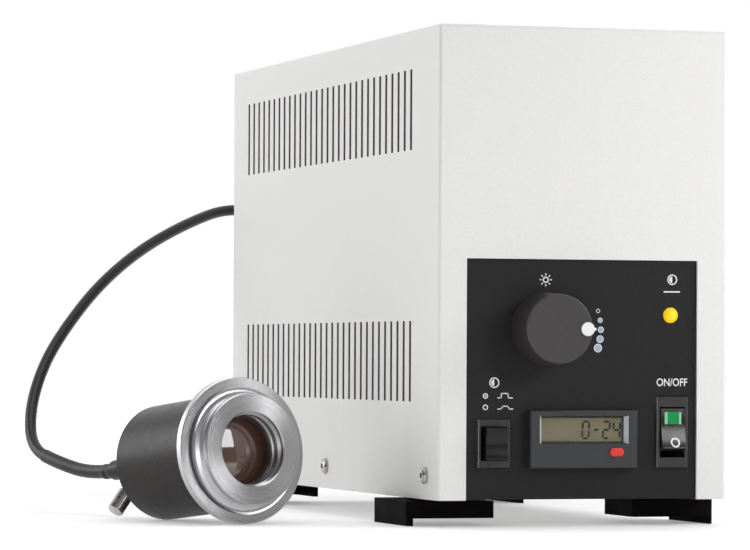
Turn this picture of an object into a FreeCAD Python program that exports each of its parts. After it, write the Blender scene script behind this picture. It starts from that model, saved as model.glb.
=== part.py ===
import FreeCAD, Part
import math
import os

from FreeCAD import Placement, Rotation, Vector

# Fiber optic illuminator: a bench light source in a sheet-metal housing, with a light guide that
# leaves the rear panel and ends in a coupling adapter lying on the bench beside it.
# Millimetres. The unit frame used below has X = 0 on the left side of the cover, Y = 0 on its
# front face and Z = 0 on the lower edge of the control panel; +Y runs to the rear. The finished
# pieces are moved at the end, so that the origin is the bottom centre of the unit and its adapter.

# ---------------------------------------------------------------- driving dimensions
# Housing
housing_width = 130.0
housing_depth = 325.0
housing_height = 200.0
cover_sheet = 1.2
chassis_sheet = 1.5
cover_bend_radius = 1.5
cover_gap = 0.2
cover_drop = 0.3
cover_least_bend = 0.3
panel_gap = 0.1
panel_low = 0.0
tray_lift = 0.4
tray_flange_height = 20.0
lip_height = 11.0
return_depth = 12.0
flange_gap = 1.0
rear_recess = 2.0

# Vent slots in both sides of the cover
vent_width = 2.8
vent_pitch = 8.93
vent_height = 34.5
vent_row_low = 40.9
vent_row_high = 148.6
vent_front_margin = 38.5
vent_rear_margin = 27.0

# Cut-out of the cover that frames the control panel
window_margin_left = 12.6
window_margin_right = 13.4
window_top = 101.6
panel_top = 112.0

# Fasteners: cover screws (button head) and small pan-head screws
cover_screw_radius = 2.0
cover_screw_head_radius = 3.6
cover_screw_head_height = 2.0
cover_screw_length = 7.0
cover_screw_height = 9.9
cover_screw_front = 16.5
cover_screw_middle = 163.5
cover_screw_rear = 13.0
hex_socket_radius = 1.45
small_screw_radius = 1.5
small_screw_head_radius = 2.8
small_screw_head_height = 2.0
small_screw_length = 8.0
screw_play = 0.2
screw_slot_half_length = 1.6
screw_slot_half_width = 0.35
screw_slot_depth = 0.9
tray_screw_drop = 2.0

# Feet
foot_height = 12.0
foot_width = 38.3
foot_depth = 49.0
foot_inner_depth = 34.2
foot_overhang = 4.9
foot_setback = 24.0
foot_rear_setback = 2.0
foot_top_drop = 1.3
foot_wall = 2.2
foot_plate = 2.5
foot_front_skirt = 8.7
foot_corner_radius = 4.5
foot_inner_corner_radius = 0.8
foot_pad_radius = 5.0
foot_screw_inset = 12.0

# Control panel layout: distances from the sides of the window, heights above the cover's edge
knob_from_left = 35.6
knob_height = 72.0
lamp_sign_from_right = 11.75
lamp_sign_height = 78.3
shutter_from_left = 12.35
shutter_height = 23.6
meter_offset = -0.4
meter_height = 25.5
power_from_right = 11.25
power_height = 28.4

# Intensity knob and its shaft
knob_base_radius = 15.9
knob_face_radius = 14.6
knob_length = 18.2
knob_gap = 0.5
knob_edge_radius = 0.5
knob_flank_rise = 0.1
knob_recess_radius = 10.0
knob_recess_depth = 6.0
knob_bore_depth = 14.0
pointer_radius = 2.9
pointer_nose_half = 1.0
pointer_tip_half = 0.5
pointer_orbit = 12.3
pointer_proud = 0.7
pointer_depth = 1.3
pointer_reach = 15.9
shaft_radius = 3.0
shaft_end_gap = 0.3
running_play = 0.05
bush_radius = 4.5
bush_front = 4.0
bush_rear = 10.0
bush_flange_radius = 6.5
bush_flange = 2.0
nut_across_flats = 13.0
nut_thickness = 2.5
knob_step_angle = 9.1
knob_steps = 5

# Indicator
indicator_radius = 3.3
indicator_proud = 2.2
indicator_length = 7.0
holder_wall = 1.3
holder_length = 8.0
holder_nut = 2.5
holder_nut_land = 1.0

# Hour meter
meter_bezel_width = 48.3
meter_bezel_height = 24.4
meter_proud = 5.0
meter_bevel = 0.5
meter_body_width = 44.6
meter_body_height = 21.6
meter_body_depth = 36.0
meter_window_width = 37.1
meter_window_height = 10.9
meter_window_offset_x = -0.1
meter_window_offset_z = 4.0
meter_window_recess = 2.2
meter_window_flare_x = 1.4
meter_window_flare_z = 0.55
meter_window_thickness = 1.2
meter_ledge = 0.4
meter_display_gap = 0.15
meter_display_thickness = 1.0
reset_offset_x = 14.5
reset_offset_z = -5.5
reset_width = 6.4
reset_height = 3.7
reset_proud = 0.9
reset_length = 5.5
reset_travel = 0.8
reset_end_gap = 0.3
reset_play = 0.15
reset_bevel = 0.4
clip_wall = 1.2
clip_depth = 9.0

# Shutter push-push switch
switch_bezel_width = 15.6
switch_bezel = 1.6
switch_bevel = 1.1
switch_body_width = 12.8
shutter_bezel_height = 20.2
shutter_body_height = 18.6
shutter_body_depth = 24.0
button_width = 9.5
button_height = 13.9
button_proud = 5.2
button_dish = 1.6
button_dish_land = 0.9
button_round = 0.4
button_skirt = 4.0
button_travel = 3.0
button_end_gap = 0.6
button_play = 0.35
button_side_play = 1.2
stem_radius = 2.0
stem_length = 9.0

# Mains rocker switch
power_bezel_height = 30.0
power_body_height = 27.4
power_body_depth = 25.0
rocker_width = 10.8
rocker_play = 0.35
rocker_half_length = 8.8
rocker_reach = 9.4
rocker_valley = 1.3
rocker_lip = 2.2
rocker_waist = 4.8
rocker_root = 2.6
rocker_round = 0.5
rocker_pivot_depth = 5.5
rocker_angle = 10.0
rocker_pin_radius = 1.2
rocker_pin_length = 0.5
rocker_mouth_play = 0.5
rocker_room = 7.0
lens_width = 7.6
lens_height = 5.2
lens_from_pivot = 4.6
lens_bevel = 0.4
lens_play = 0.05
lens_proud = 0.5
lens_depth = 1.4

# Light path: axis of the beam, along Y
beam_offset = 17.0
beam_height = 133.5

# Optical bench, a sheet bridge over the ballast
bench_sheet = 2.0
bench_below_beam = 33.5
bench_from_rear = 89.0
bench_length = 136.0
bench_margin = 14.0
bench_foot = 9.0

# Lamp with its bracket
lamp_bracket_sheet = 2.5
lamp_bracket_width = 62.0
lamp_bracket_setback = 8.0
lamp_bracket_length = 79.0
lamp_bracket_margin = 3.0
lamp_plate_above_beam = 29.5
reflector_radius = 26.0
reflector_depth = 33.0
reflector_wall = 2.0
reflector_rim = 3.0
reflector_rim_land = 1.0
reflector_neck = 8.0
lamp_hole_radius = 22.0
burner_bulb_radius = 5.5
burner_neck_radius = 3.0
burner_base_radius = 7.6
socket_width = 30.0
socket_height = 26.0
socket_depth = 14.0
burner_base_length = 24.0
burner_base_bevel_length = 2.0
burner_base_bevel = 1.5
burner_from_neck = 12.0
burner_stem_length = 7.0
burner_stem_round = 0.5
socket_seat_depth = 6.0
socket_corner_radius = 2.0

# Optics plate with the heat filter and the shutter
optics_plate = 4.0
optics_plate_setback = 112.0
optics_plate_above_beam = 26.5
optics_plate_margin = 1.0
optics_plate_side = 25.0
optics_foot = 14.0
optics_foot_thickness = 3.0
filter_radius = 21.0
filter_thickness = 3.0
filter_clear_radius = 17.0
part_play = 0.1
solenoid_from_beam = 44.0
solenoid_drop = 7.5
solenoid_radius = 13.0
solenoid_length = 20.0
solenoid_flange_radius = 16.0
solenoid_flange = 2.0
solenoid_end_wall = 4.0
solenoid_end_gap = 0.5
shutter_shaft_radius = 2.0
shutter_blade_thickness = 1.0
shutter_blade_radius = 13.0
shutter_blade_gap = 3.0
shutter_hub_radius = 5.0
shutter_hub_length = 5.0
shutter_arm_width = 9.0
shutter_shaft_play = 0.8
shutter_shaft_end = 1.0

# Attenuator vane on the rear end of the knob shaft
vane_setback = 146.0
vane_thickness = 1.5
vane_rim = 9.0
vane_edge_angle = 5.5
vane_hub_radius = 8.0
vane_hub_length = 9.0
vane_root_share = 0.8
aperture_radii = (1.0, 1.8, 2.7, 3.6, 4.5)
shaft_bracket_sheet = 1.5
shaft_bracket_setback = 130.0
shaft_bracket_width = 20.0
shaft_bracket_drop = 11.0
shaft_bracket_flange = 16.0
shaft_boss_radius = 6.0
shaft_boss_length = 6.0

# Ballast and control board
ballast_width = 84.0
ballast_length = 122.0
ballast_height = 46.0
ballast_setback = 4.0
ballast_ear = 7.0
ballast_ear_thickness = 2.0
ballast_corner_radius = 3.0
ballast_ear_margin = 6.0
terminal_from_side = 8.0
terminal_length = 30.0
terminal_depth = 6.0
terminal_rise = 12.0
terminal_height = 12.0
board_thickness = 1.6
board_width = 30.0
board_bottom = 56.0
board_top = 97.0
board_gap = 10.0
standoff_radius = 2.5
standoff_inset = 4.0
board_from_window = 1.0
relay_inset = 3.0
relay_width = 15.0
relay_depth = 12.0
relay_rise = 4.0
relay_height = 10.0
chip_inset = 8.0
chip_width = 8.0
chip_depth = 3.0
chip_drop = 6.0
chip_height = 10.0
capacitor_inset = 7.0
capacitor_rise = 9.0
capacitor_radius = 4.0
capacitor_length = 13.0

# Fan
fan_from_left = 40.0
fan_height = 52.0
fan_size = 60.0
fan_frame_depth = 25.0
fan_bore_radius = 28.5
fan_hub_radius = 13.0
fan_blade_radius = 27.3
fan_blade_count = 7
fan_blade_thickness = 1.4
fan_blade_chord = 17.0
fan_blade_angle = 38.0
fan_rotor_depth = 15.0
fan_strut_width = 4.0
fan_strut_depth = 3.0
fan_hole_pitch = 50.0
fan_corner_radius = 3.0
fan_pin_radius = 2.5
fan_pin_length = 6.0
fan_pin_end_gap = 0.5
fan_hub_round = 1.5
fan_blade_root = 1.5
fan_blade_margin = 0.5
fan_rotor_gap = 1.0
grille_bar = 4.0
grille_rings = 3
grille_hub_margin = 1.0

# Mains inlet with its fuse drawer
inlet_from_right = 28.0
inlet_height = 42.0
inlet_flange_width = 31.0
inlet_flange_height = 54.0
inlet_flange = 3.0
inlet_body_width = 27.0
inlet_body_height = 47.0
inlet_body_depth = 28.0
inlet_cavity_width = 24.4
inlet_cavity_height = 16.6
inlet_cavity_depth = 21.0
inlet_cavity_offset = -11.0
inlet_pin_width = 4.0
inlet_pin_thickness = 2.0
inlet_pin_spacing = 7.0
inlet_pin_length = 15.0
drawer_width = 22.0
drawer_height = 9.0
drawer_length = 22.0
drawer_offset = 11.0
drawer_play = 0.25
drawer_lip = 1.6
drawer_lip_side = 1.0
drawer_lip_rise = 0.8
drawer_notch_width = 8.0
drawer_notch_height = 2.6
drawer_notch_offset = 1.0
drawer_notch_floor = 0.5
drawer_wall = 2.0
drawer_floor = 1.5
inlet_screw_offset = 22.8
inlet_corner_radius = 2.5
inlet_cut_corner = 4.65
inlet_screw_depth = 10.0
inlet_pin_drop = 1.5
inlet_earth_rise = 2.5
inlet_pin_bevel = 0.5

# Remote socket on the rear panel
remote_from_right = 28.0
remote_height = 88.0
remote_bore_radius = 3.2
remote_bore_depth = 16.0
remote_bush_radius = 5.5
remote_bush_proud = 4.0
remote_body_size = 14.0
remote_body_depth = 20.0
remote_nut_across_flats = 14.0
remote_nut = 2.0

# Guide port on the rear panel
port_flange_radius = 17.0
port_flange = 4.0
port_barrel_radius = 10.5
port_barrel = 13.0
port_inner_radius = 9.5
port_inner_length = 24.0
port_screw_orbit = 13.6
port_screw_count = 3
port_bevel = 0.8
port_lead_in = 1.0
clamp_back = 6.0
clamp_head_radius = 5.0
clamp_head_length = 8.0
clamp_gap = 0.5
clamp_tip_gap = 0.1
head_overlap = 1.0

# Light guide
guide_radius = 2.7
sleeve_radius = 3.1
collar_radius = 3.45
collar_length = 9.0
ferrule_radius = 5.0
ferrule_shoulder_radius = 6.2
ferrule_shoulder = 5.0
boot_radius = 4.6
boot_length = 11.0
boot_wall = 0.4
boot_straight_share = 0.3
ferrule_bevel = 0.5
ferrule_shoulder_bevel = 0.6
guide_lead_length = 20.0
arc_share = 0.45

# Coupling adapter: its own axis is Z here, nose up, with Z = 0 on the front of the flange
adapter_x = -69.3
adapter_y = 55.6
adapter_heading = 18.7
flange_radius = 31.5
flange_thickness = 3.7
boss_radius = 24.0
boss_height = 8.0
boss_rim = 1.8
neck_radius = 21.0
cove_radius = 27.6
cove_depth = 4.4
mouth_radius = 15.85
mouth_depth = 3.5
ledge_radius = 15.0
ledge_length = 2.0
groove_radius = 15.6
groove_length = 2.4
turned_chamfer = 0.4
spigot_radius = 21.5
spigot_length = 6.0
adapter_body_radius = 25.2
adapter_body_end = 61.5
adapter_body_wall = 3.0
adapter_body_bevel = 0.6
adapter_rear_bevel = 0.3
adapter_step_length = 4.0
rear_wall = 6.0
rear_neck_radius = 8.5
rear_neck_length = 23.0
rear_neck_bevel = 0.8
adapter_ferrule_radius = 4.5
adapter_ferrule_inside = 12.0
adapter_ferrule_end = 102.0
lens_seat_radius = 16.5
lens_ring_bore = 14.6
lens_ring_length = 4.0
lens_ring_bevel = 0.8
front_lens_edge = 3.5
front_lens_bulge = 2.2
pin_radius = 1.5
pin_orbit = 29.6
pin_angle = 228.0
pin_recess = 0.25
pin_floor = 1.0
thumb_angle = 50.0
thumb_back = 16.5
thumb_head_radius = 3.6
thumb_head_length = 11.0
thumb_head_gap = 6.6
thumb_shank_radius = 1.5
knurl_count = 24
knurl_depth = 0.35
knurl_bevel = 0.6

# Cutting shapes run past the faces they open by this much
over = 1.0

# ---------------------------------------------------------------- places that follow from them
cover_inside = cover_sheet + cover_gap
panel_front = cover_sheet + panel_gap
cover_inner_radius = max(cover_bend_radius - cover_sheet, cover_least_bend)
panel_back = panel_front + chassis_sheet
rear_outside = housing_depth - rear_recess
rear_inside = rear_outside - chassis_sheet
tray_top = tray_lift + chassis_sheet
floor_z = -foot_height
window_front = panel_front - meter_proud + meter_window_recess
window_back = window_front + meter_window_thickness
display_front = window_back + meter_display_gap
window_left = window_margin_left
window_right = housing_width - window_margin_right
knob_x = window_left + knob_from_left
sign_x = window_right - lamp_sign_from_right
shutter_x = window_left + shutter_from_left
power_x = window_right - power_from_right
meter_x = (window_left + window_right) / 2 + meter_offset
beam_x = housing_width / 2 + beam_offset
fan_x = fan_from_left
inlet_x = housing_width - inlet_from_right
remote_x = housing_width - remote_from_right
solenoid_x = beam_x - solenoid_from_beam
solenoid_z = beam_height - solenoid_drop
vane_reach = math.hypot(beam_x - knob_x, beam_height - knob_height)
vane_direction = math.degrees(math.atan2(beam_height - knob_height, beam_x - knob_x))
port_end = rear_outside + port_flange + port_barrel
ferrule_end = port_end + ferrule_shoulder
bench_top = beam_height - bench_below_beam
bench_front = housing_depth - bench_from_rear - bench_length
lamp_bracket_front = bench_front + lamp_bracket_setback
lamp_plate_top = beam_height + lamp_plate_above_beam
optics_front = bench_front + optics_plate_setback
optics_plate_top = beam_height + optics_plate_above_beam
vane_y = bench_front + vane_setback
shaft_bracket_y = bench_front + shaft_bracket_setback
ballast_front = bench_front + ballast_setback
foot_rear_shift = foot_setback - foot_rear_setback
socket_back = lamp_bracket_front + lamp_bracket_sheet + socket_depth
reflector_front = lamp_bracket_front + lamp_bracket_length - lamp_bracket_sheet
foot_top = -foot_top_drop
blade_y = optics_front + optics_plate + shutter_blade_gap

# The adapter lies on the rear edge of its flange and the rear edge of its body
adapter_tilt = math.degrees(
    math.atan((flange_radius - adapter_body_radius) / (adapter_body_end - flange_thickness))
)
adapter_lift = flange_radius * math.cos(math.radians(adapter_tilt))
adapter_lift += flange_thickness * math.sin(math.radians(adapter_tilt))
adapter_turn = Rotation(Vector(0, 0, 1), adapter_heading) * Rotation(
    Vector(1, 0, 0), 90.0 - adapter_tilt
)
adapter_place = Placement(Vector(adapter_x, adapter_y, floor_z + adapter_lift), adapter_turn)

# Route of the light guide, from the ferrule in the port to the ferrule in the adapter
guide_end = adapter_place.multVec(Vector(0, 0, -adapter_ferrule_end))
guide_lead = adapter_place.multVec(Vector(0, 0, -adapter_ferrule_end - guide_lead_length))
guide_points = [
    Vector(beam_x, ferrule_end, beam_height),
    Vector(beam_x, ferrule_end + 23, beam_height),
    Vector(beam_x - 12, ferrule_end + 47, beam_height),
    Vector(beam_x - 39, ferrule_end + 59, beam_height - 0.5),
    Vector(beam_x - 67, ferrule_end + 46, beam_height + 2.5),
    Vector(beam_x - 95, ferrule_end + 21, beam_height - 6.5),
    Vector(beam_x - 126, ferrule_end - 8, beam_height - 20.5),
    Vector(-72, 307, 95),
    Vector(-94, 281, 75),
    Vector(-111, 258, 56),
    Vector(-122, 238, 35),
    Vector(-126, 216, 17),
    Vector(-118.5, 194, 11),
    guide_lead,
    guide_end,
]
sleeve_run = 11


# ---------------------------------------------------------------- shape helpers
def block(x0, x1, y0, y1, z0, z1):
    return Part.makeBox(x1 - x0, y1 - y0, z1 - z0, Vector(x0, y0, z0))


def centred_block(x, z, width, height, y0, y1):
    return block(x - width / 2, x + width / 2, y0, y1, z - height / 2, z + height / 2)


def rod_y(x, z, radius, y0, y1):
    return Part.makeCylinder(radius, y1 - y0, Vector(x, y0, z), Vector(0, 1, 0))


def rod_x(y, z, radius, x0, x1):
    return Part.makeCylinder(radius, x1 - x0, Vector(x0, y, z), Vector(1, 0, 0))


def rod_z(x, y, radius, z0, z1):
    return Part.makeCylinder(radius, z1 - z0, Vector(x, y, z0), Vector(0, 0, 1))


def face_of(points):
    return Part.Face(Part.makePolygon(points + [points[0]]))


def extrude_x(outline, x0, x1):
    return face_of([Vector(x0, y, z) for y, z in outline]).extrude(Vector(x1 - x0, 0, 0))


def extrude_y(outline, y0, y1):
    return face_of([Vector(x, y0, z) for x, z in outline]).extrude(Vector(0, y1 - y0, 0))


def extrude_z(outline, z0, z1):
    return face_of([Vector(x, y, z0) for x, y in outline]).extrude(Vector(0, 0, z1 - z0))


def turn_y(outline, x, z):
    """Revolve an outline of (radius, y) about the line along Y through (x, z)."""
    face = face_of([Vector(x + r, y, z) for r, y in outline])
    return face.revolve(Vector(x, 0, z), Vector(0, 1, 0), 360)


def turn_z(outline):
    """Revolve an outline of (radius, z) about the Z axis."""
    return face_of([Vector(r, 0, z) for r, z in outline]).revolve(Vector(0, 0, 0), Vector(0, 0, 1), 360)


def edges_where(shape, test):
    return [edge for edge in shape.Edges if test(edge.BoundBox)]


def same(a, b):
    return abs(a - b) < 1e-4


def hex_prism_y(x, z, across_flats, y0, y1):
    radius = across_flats / math.sqrt(3)
    corners = [
        (x + radius * math.cos(math.radians(60 * k)), z + radius * math.sin(math.radians(60 * k)))
        for k in range(6)
    ]
    return extrude_y(corners, y0, y1)


def mirror_x(shape, x):
    return shape.mirror(Vector(x, 0, 0), Vector(1, 0, 0))


def mirror_y(shape, y):
    return shape.mirror(Vector(0, y, 0), Vector(0, 1, 0))


def group(shapes):
    return Part.makeCompound(shapes)


# ---------------------------------------------------------------- housing
def vent_places():
    run = housing_depth - vent_front_margin - vent_rear_margin
    count = int(run / vent_pitch) + 1
    return [vent_front_margin + k * vent_pitch for k in range(count)]


def cover_screw_places():
    rear = housing_depth - cover_screw_rear
    return [cover_screw_front, cover_screw_middle, rear]


def rounded_hood(inset, radius, bottom, back):
    """The hood's outer or inner form: rounded where its front, top and sides meet."""
    left = inset
    right = housing_width - inset
    top = housing_height - inset
    form = block(left, right, inset, back, bottom, top)

    def is_bend(box):
        upright = same(box.YMax, inset) and same(box.XMin, box.XMax)
        along_top = same(box.ZMin, top) and (same(box.XMin, box.XMax) or same(box.YMax, inset))
        return upright or along_top

    return form.makeFillet(radius, edges_where(form, is_bend))


def housing_cover():
    low = -cover_drop
    outer = rounded_hood(0.0, cover_bend_radius, low, housing_depth)
    inner = rounded_hood(cover_sheet, cover_inner_radius, low - over, housing_depth + over)
    shell = outer.cut(inner)
    cuts = [block(window_left, window_right, -over, cover_sheet + over, low - over, window_top)]
    half = vent_width / 2
    for y in vent_places():
        for slot_low in (vent_row_low, vent_row_high):
            slot_high = slot_low + vent_height
            cuts.append(block(-over, housing_width + over, y - half, y + half, slot_low, slot_high))
    hole = cover_screw_radius + screw_play
    for y in cover_screw_places():
        cuts.append(rod_x(y, cover_screw_height, hole, -over, housing_width + over))
    return shell.cut(group(cuts))


def inside_cover(shape):
    """The shape trimmed to the hood's inside, with a gap at its rounded bends."""
    return shape.common(rounded_hood(panel_front, cover_inner_radius, -foot_height, housing_depth + over))


def base_tray():
    left = cover_inside
    right = housing_width - cover_inside
    wall = chassis_sheet
    front = panel_back + panel_gap
    back = rear_inside - panel_gap
    channel = [
        (left, tray_lift + tray_flange_height),
        (left, tray_lift),
        (right, tray_lift),
        (right, tray_lift + tray_flange_height),
        (right - wall, tray_lift + tray_flange_height),
        (right - wall, tray_top),
        (left + wall, tray_top),
        (left + wall, tray_lift + tray_flange_height),
    ]
    tray = extrude_y(channel, front, back)
    for y0 in (front, back - wall):
        tray = tray.fuse(
            block(left + wall, right - wall, y0, y0 + wall, tray_top, tray_lift + lip_height)
        )
    holes = []
    for y in cover_screw_places():
        holes.append(rod_x(y, cover_screw_height, cover_screw_radius + part_play, 0.0, housing_width))
    for x, y in foot_screw_places():
        holes.append(rod_z(x, y, small_screw_radius + part_play, 0.0, tray_top + over))
    for x, z in tray_screw_places():
        holes.append(rod_y(x, z, small_screw_radius + part_play, back - wall - over, back + over))
    return tray.cut(group(holes)).removeSplitter()


def front_panel():
    left = cover_inside
    right = housing_width - cover_inside
    plate = block(left, right, panel_front, panel_back, panel_low, panel_top)
    flange_low = tray_lift + tray_flange_height + flange_gap
    for x in (left, right - chassis_sheet):
        plate = plate.fuse(
            block(x, x + chassis_sheet, panel_back, panel_back + return_depth, flange_low, panel_top)
        )
    y0 = panel_front - over
    y1 = panel_back + over
    play = part_play * 2
    cutout = switch_body_width + play
    cuts = [
        rod_y(knob_x, knob_height, bush_radius + part_play, y0, y1),
        rod_y(sign_x, lamp_sign_height, indicator_radius + part_play, y0, y1),
        centred_block(meter_x, meter_height, meter_body_width + play, meter_body_height + play, y0, y1),
        centred_block(shutter_x, shutter_height, cutout, shutter_body_height + play, y0, y1),
        centred_block(power_x, power_height, cutout, power_body_height + play, y0, y1),
    ]
    return inside_cover(plate).cut(group(cuts)).removeSplitter()


def grille_cuts(y0, y1):
    """Ring slots in front of the fan, broken by four diagonal bars."""
    hub = fan_hub_radius - grille_hub_margin
    step = (fan_bore_radius - hub) / grille_rings
    cuts = []
    for k in range(grille_rings):
        inner = hub + k * step + grille_bar / 4
        outer = hub + (k + 1) * step - grille_bar / 4
        ring = rod_y(fan_x, fan_height, outer, y0, y1).cut(rod_y(fan_x, fan_height, inner, y0, y1))
        cuts.append(ring)
    slots = group(cuts)
    for angle in (45, 135):
        bar = centred_block(fan_x, fan_height, grille_bar, 2 * fan_size, y0, y1)
        bar.rotate(Vector(fan_x, 0, fan_height), Vector(0, 1, 0), angle)
        slots = slots.cut(bar)
    return slots


def fan_screw_places():
    half = fan_hole_pitch / 2
    return [(fan_x + sx * half, fan_height + sz * half) for sx in (-1, 1) for sz in (-1, 1)]


def inlet_screw_places():
    return [(inlet_x, inlet_height + side * inlet_screw_offset) for side in (-1, 1)]


def port_screw_places():
    places = []
    for k in range(port_screw_count):
        angle = 2 * math.pi * k / port_screw_count - math.pi / 2
        x = beam_x + port_screw_orbit * math.cos(angle)
        places.append((x, beam_height + port_screw_orbit * math.sin(angle)))
    return places


def tray_screw_places():
    z = cover_screw_height - tray_screw_drop
    return [(fan_x, z), (beam_x, z)]


def rear_panel():
    left = cover_inside
    right = housing_width - cover_inside
    top = housing_height - cover_inside
    plate = block(left, right, rear_inside, rear_outside, tray_lift, top)
    low = tray_lift + tray_flange_height + flange_gap
    for x in (left, right - chassis_sheet):
        plate = plate.fuse(
            block(x, x + chassis_sheet, rear_inside - return_depth, rear_inside, low, top)
        )
    y0 = rear_inside - over
    y1 = rear_outside + over
    play = part_play * 2
    cuts = [
        grille_cuts(y0, y1),
        rod_y(beam_x, beam_height, port_inner_radius + part_play, y0, y1),
        rod_y(remote_x, remote_height, remote_bush_radius + part_play, y0, y1),
        centred_block(inlet_x, inlet_height, inlet_body_width + play, inlet_body_height + play, y0, y1),
    ]
    places = fan_screw_places() + tray_screw_places() + port_screw_places() + inlet_screw_places()
    for x, z in places:
        cuts.append(rod_y(x, z, small_screw_radius + screw_play, y0, y1))
    return inside_cover(plate).cut(group(cuts)).removeSplitter()


def cover_screws():
    head_top = cover_screw_head_height
    head = [
        (0, 0),
        (cover_screw_head_radius, 0),
        (cover_screw_head_radius, head_top * 0.4),
        (cover_screw_head_radius * 0.83, head_top * 0.8),
        (cover_screw_head_radius * 0.55, head_top),
        (0, head_top),
    ]
    screw = turn_z(head).fuse(rod_z(0, 0, cover_screw_radius, -cover_screw_length, 0.0))
    corners = [math.radians(60 * k) for k in range(6)]
    hexagon = [(hex_socket_radius * math.cos(a), hex_socket_radius * math.sin(a)) for a in corners]
    screw = screw.cut(extrude_z(hexagon, head_top * 0.35, head_top + over))
    screws = []
    for y in cover_screw_places():
        left = screw.copy()
        left.Placement = Placement(Vector(0, y, cover_screw_height), Rotation(Vector(0, 1, 0), -90))
        screws.append(left)
        screws.append(mirror_x(left, housing_width / 2))
    return group(screws)


def small_screw(x, y, z, turn):
    """Pan-head screw whose seat is at (x, y, z); its head points along the turned +Z."""
    head = turn_z(
        [
            (0, 0),
            (small_screw_head_radius, 0),
            (small_screw_head_radius, small_screw_head_height * 0.5),
            (small_screw_head_radius * 0.7, small_screw_head_height),
            (0, small_screw_head_height),
        ]
    )
    top = small_screw_head_height
    long = screw_slot_half_length
    wide = screw_slot_half_width
    slot = block(-long, long, -wide, wide, top - screw_slot_depth, top + over)
    screw = head.fuse(rod_z(0, 0, small_screw_radius, -small_screw_length, 0.0)).cut(slot)
    screw.Placement = Placement(Vector(x, y, z), turn)
    return screw


def rear_panel_screws():
    to_rear = Rotation(Vector(1, 0, 0), -90)
    screws = [small_screw(x, rear_outside, z, to_rear) for x, z in fan_screw_places() + tray_screw_places()]
    port_face = rear_outside + port_flange
    screws += [small_screw(x, port_face, z, to_rear) for x, z in port_screw_places()]
    inlet_face = rear_outside + inlet_flange
    screws += [small_screw(x, inlet_face, z, to_rear) for x, z in inlet_screw_places()]
    return group(screws)


# ---------------------------------------------------------------- feet
def foot_screw_places():
    places = []
    for x in (foot_screw_inset, housing_width - foot_screw_inset):
        for y in foot_screw_rows():
            places.append((x, y))
            places.append((x, housing_depth - y + foot_rear_shift))
    return places


def foot_screw_rows():
    return (foot_setback + foot_screw_inset, foot_setback + foot_depth - foot_screw_inset)


def foot_front_left():
    """Moulded foot: a plate with a deep outer wall and shallow front and inner walls."""
    x0 = -foot_overhang
    x1 = x0 + foot_width
    y0 = foot_setback
    y1 = y0 + foot_depth
    outline = [
        (x0, y0),
        (x1, y0),
        (x1, y0 + foot_inner_depth),
        (x1 - foot_width / 3, y1),
        (x0, y1),
    ]
    solid = extrude_z(outline, floor_z, foot_top)
    corner = edges_where(solid, lambda b: same(b.XMax, x0) and same(b.YMax, y0))
    solid = solid.makeFillet(foot_corner_radius, corner)
    corner = edges_where(solid, lambda b: same(b.XMin, x1) and same(b.YMax, y0))
    solid = solid.makeFillet(foot_inner_corner_radius, corner)
    wall = foot_wall
    under = foot_top - foot_plate
    hollow_outline = [
        (x0 + wall, y0 + wall),
        (x1 - wall, y0 + wall),
        (x1 - wall, y0 + foot_inner_depth),
        (x1 - wall - foot_width / 3, y1 + over),
        (x0 + wall, y1 + over),
    ]
    hollow = extrude_z(hollow_outline, floor_z - over, under)
    corner = edges_where(hollow, lambda b: same(b.XMax, x0 + wall) and same(b.YMax, y0 + wall))
    hollow = hollow.makeFillet(max(foot_corner_radius - wall, cover_least_bend), corner)
    skirt_cut = block(x0 + wall, x1 + over, y0 - over, y1 + over, floor_z - over, -foot_front_skirt)
    back_cut = block(x0 + wall, x1 + over, y0 + foot_inner_depth, y1 + over, floor_z - over, under)
    foot = solid.cut(hollow).cut(skirt_cut).cut(back_cut)
    x = foot_screw_inset
    for y in foot_screw_rows():
        foot = foot.fuse(rod_z(x, y, foot_pad_radius, under, tray_lift))
    holes = [rod_z(x, y, small_screw_radius + screw_play, floor_z, tray_top) for y in foot_screw_rows()]
    return foot.cut(group(holes)).removeSplitter()


def rear_foot(front_foot):
    foot = mirror_y(front_foot, housing_depth / 2)
    foot.translate(Vector(0, foot_rear_shift, 0))
    return foot


def foot_screws():
    down = Rotation(Vector(1, 0, 0), 180)
    return group([small_screw(x, y, foot_top - foot_plate, down) for x, y in foot_screw_places()])


# ---------------------------------------------------------------- intensity control
def intensity_knob():
    base = panel_front - knob_gap
    face = panel_front - knob_length
    edge = knob_edge_radius
    profile = [
        (shaft_radius + part_play, base - knob_bore_depth),
        (shaft_radius + part_play, base - knob_recess_depth),
        (knob_recess_radius, base - knob_recess_depth),
        (knob_recess_radius, base),
        (knob_base_radius, base),
        (knob_face_radius + knob_flank_rise, face + edge),
        (knob_face_radius - edge * 0.3, face + edge * 0.3),
        (knob_face_radius - edge, face),
        (0, face),
        (0, base - knob_bore_depth),
    ]
    knob = turn_y(profile, knob_x, knob_height)
    pocket = pointer_form(part_play, face - over, face + pointer_depth)
    return knob.cut(pocket)


def pointer_form(grow, y0, y1):
    """Disc with a tapered nose that points outward, to the right of the knob's centre."""
    radius = pointer_radius + grow
    x = knob_x + pointer_orbit
    tip = knob_x + pointer_reach + grow
    half = pointer_nose_half + grow
    tip_half = pointer_tip_half + grow
    nose = extrude_y(
        [
            (x, knob_height - half),
            (tip, knob_height - tip_half),
            (tip, knob_height + tip_half),
            (x, knob_height + half),
        ],
        y0,
        y1,
    )
    return rod_y(x, knob_height, radius, y0, y1).fuse(nose).removeSplitter()


def knob_pointer():
    face = panel_front - knob_length
    return pointer_form(0.0, face - pointer_proud, face + pointer_depth)


def knob_shaft():
    front = panel_front - knob_gap - knob_bore_depth + shaft_end_gap
    rear = vane_y + vane_thickness + vane_hub_length
    return rod_y(knob_x, knob_height, shaft_radius, front, rear)


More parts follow.
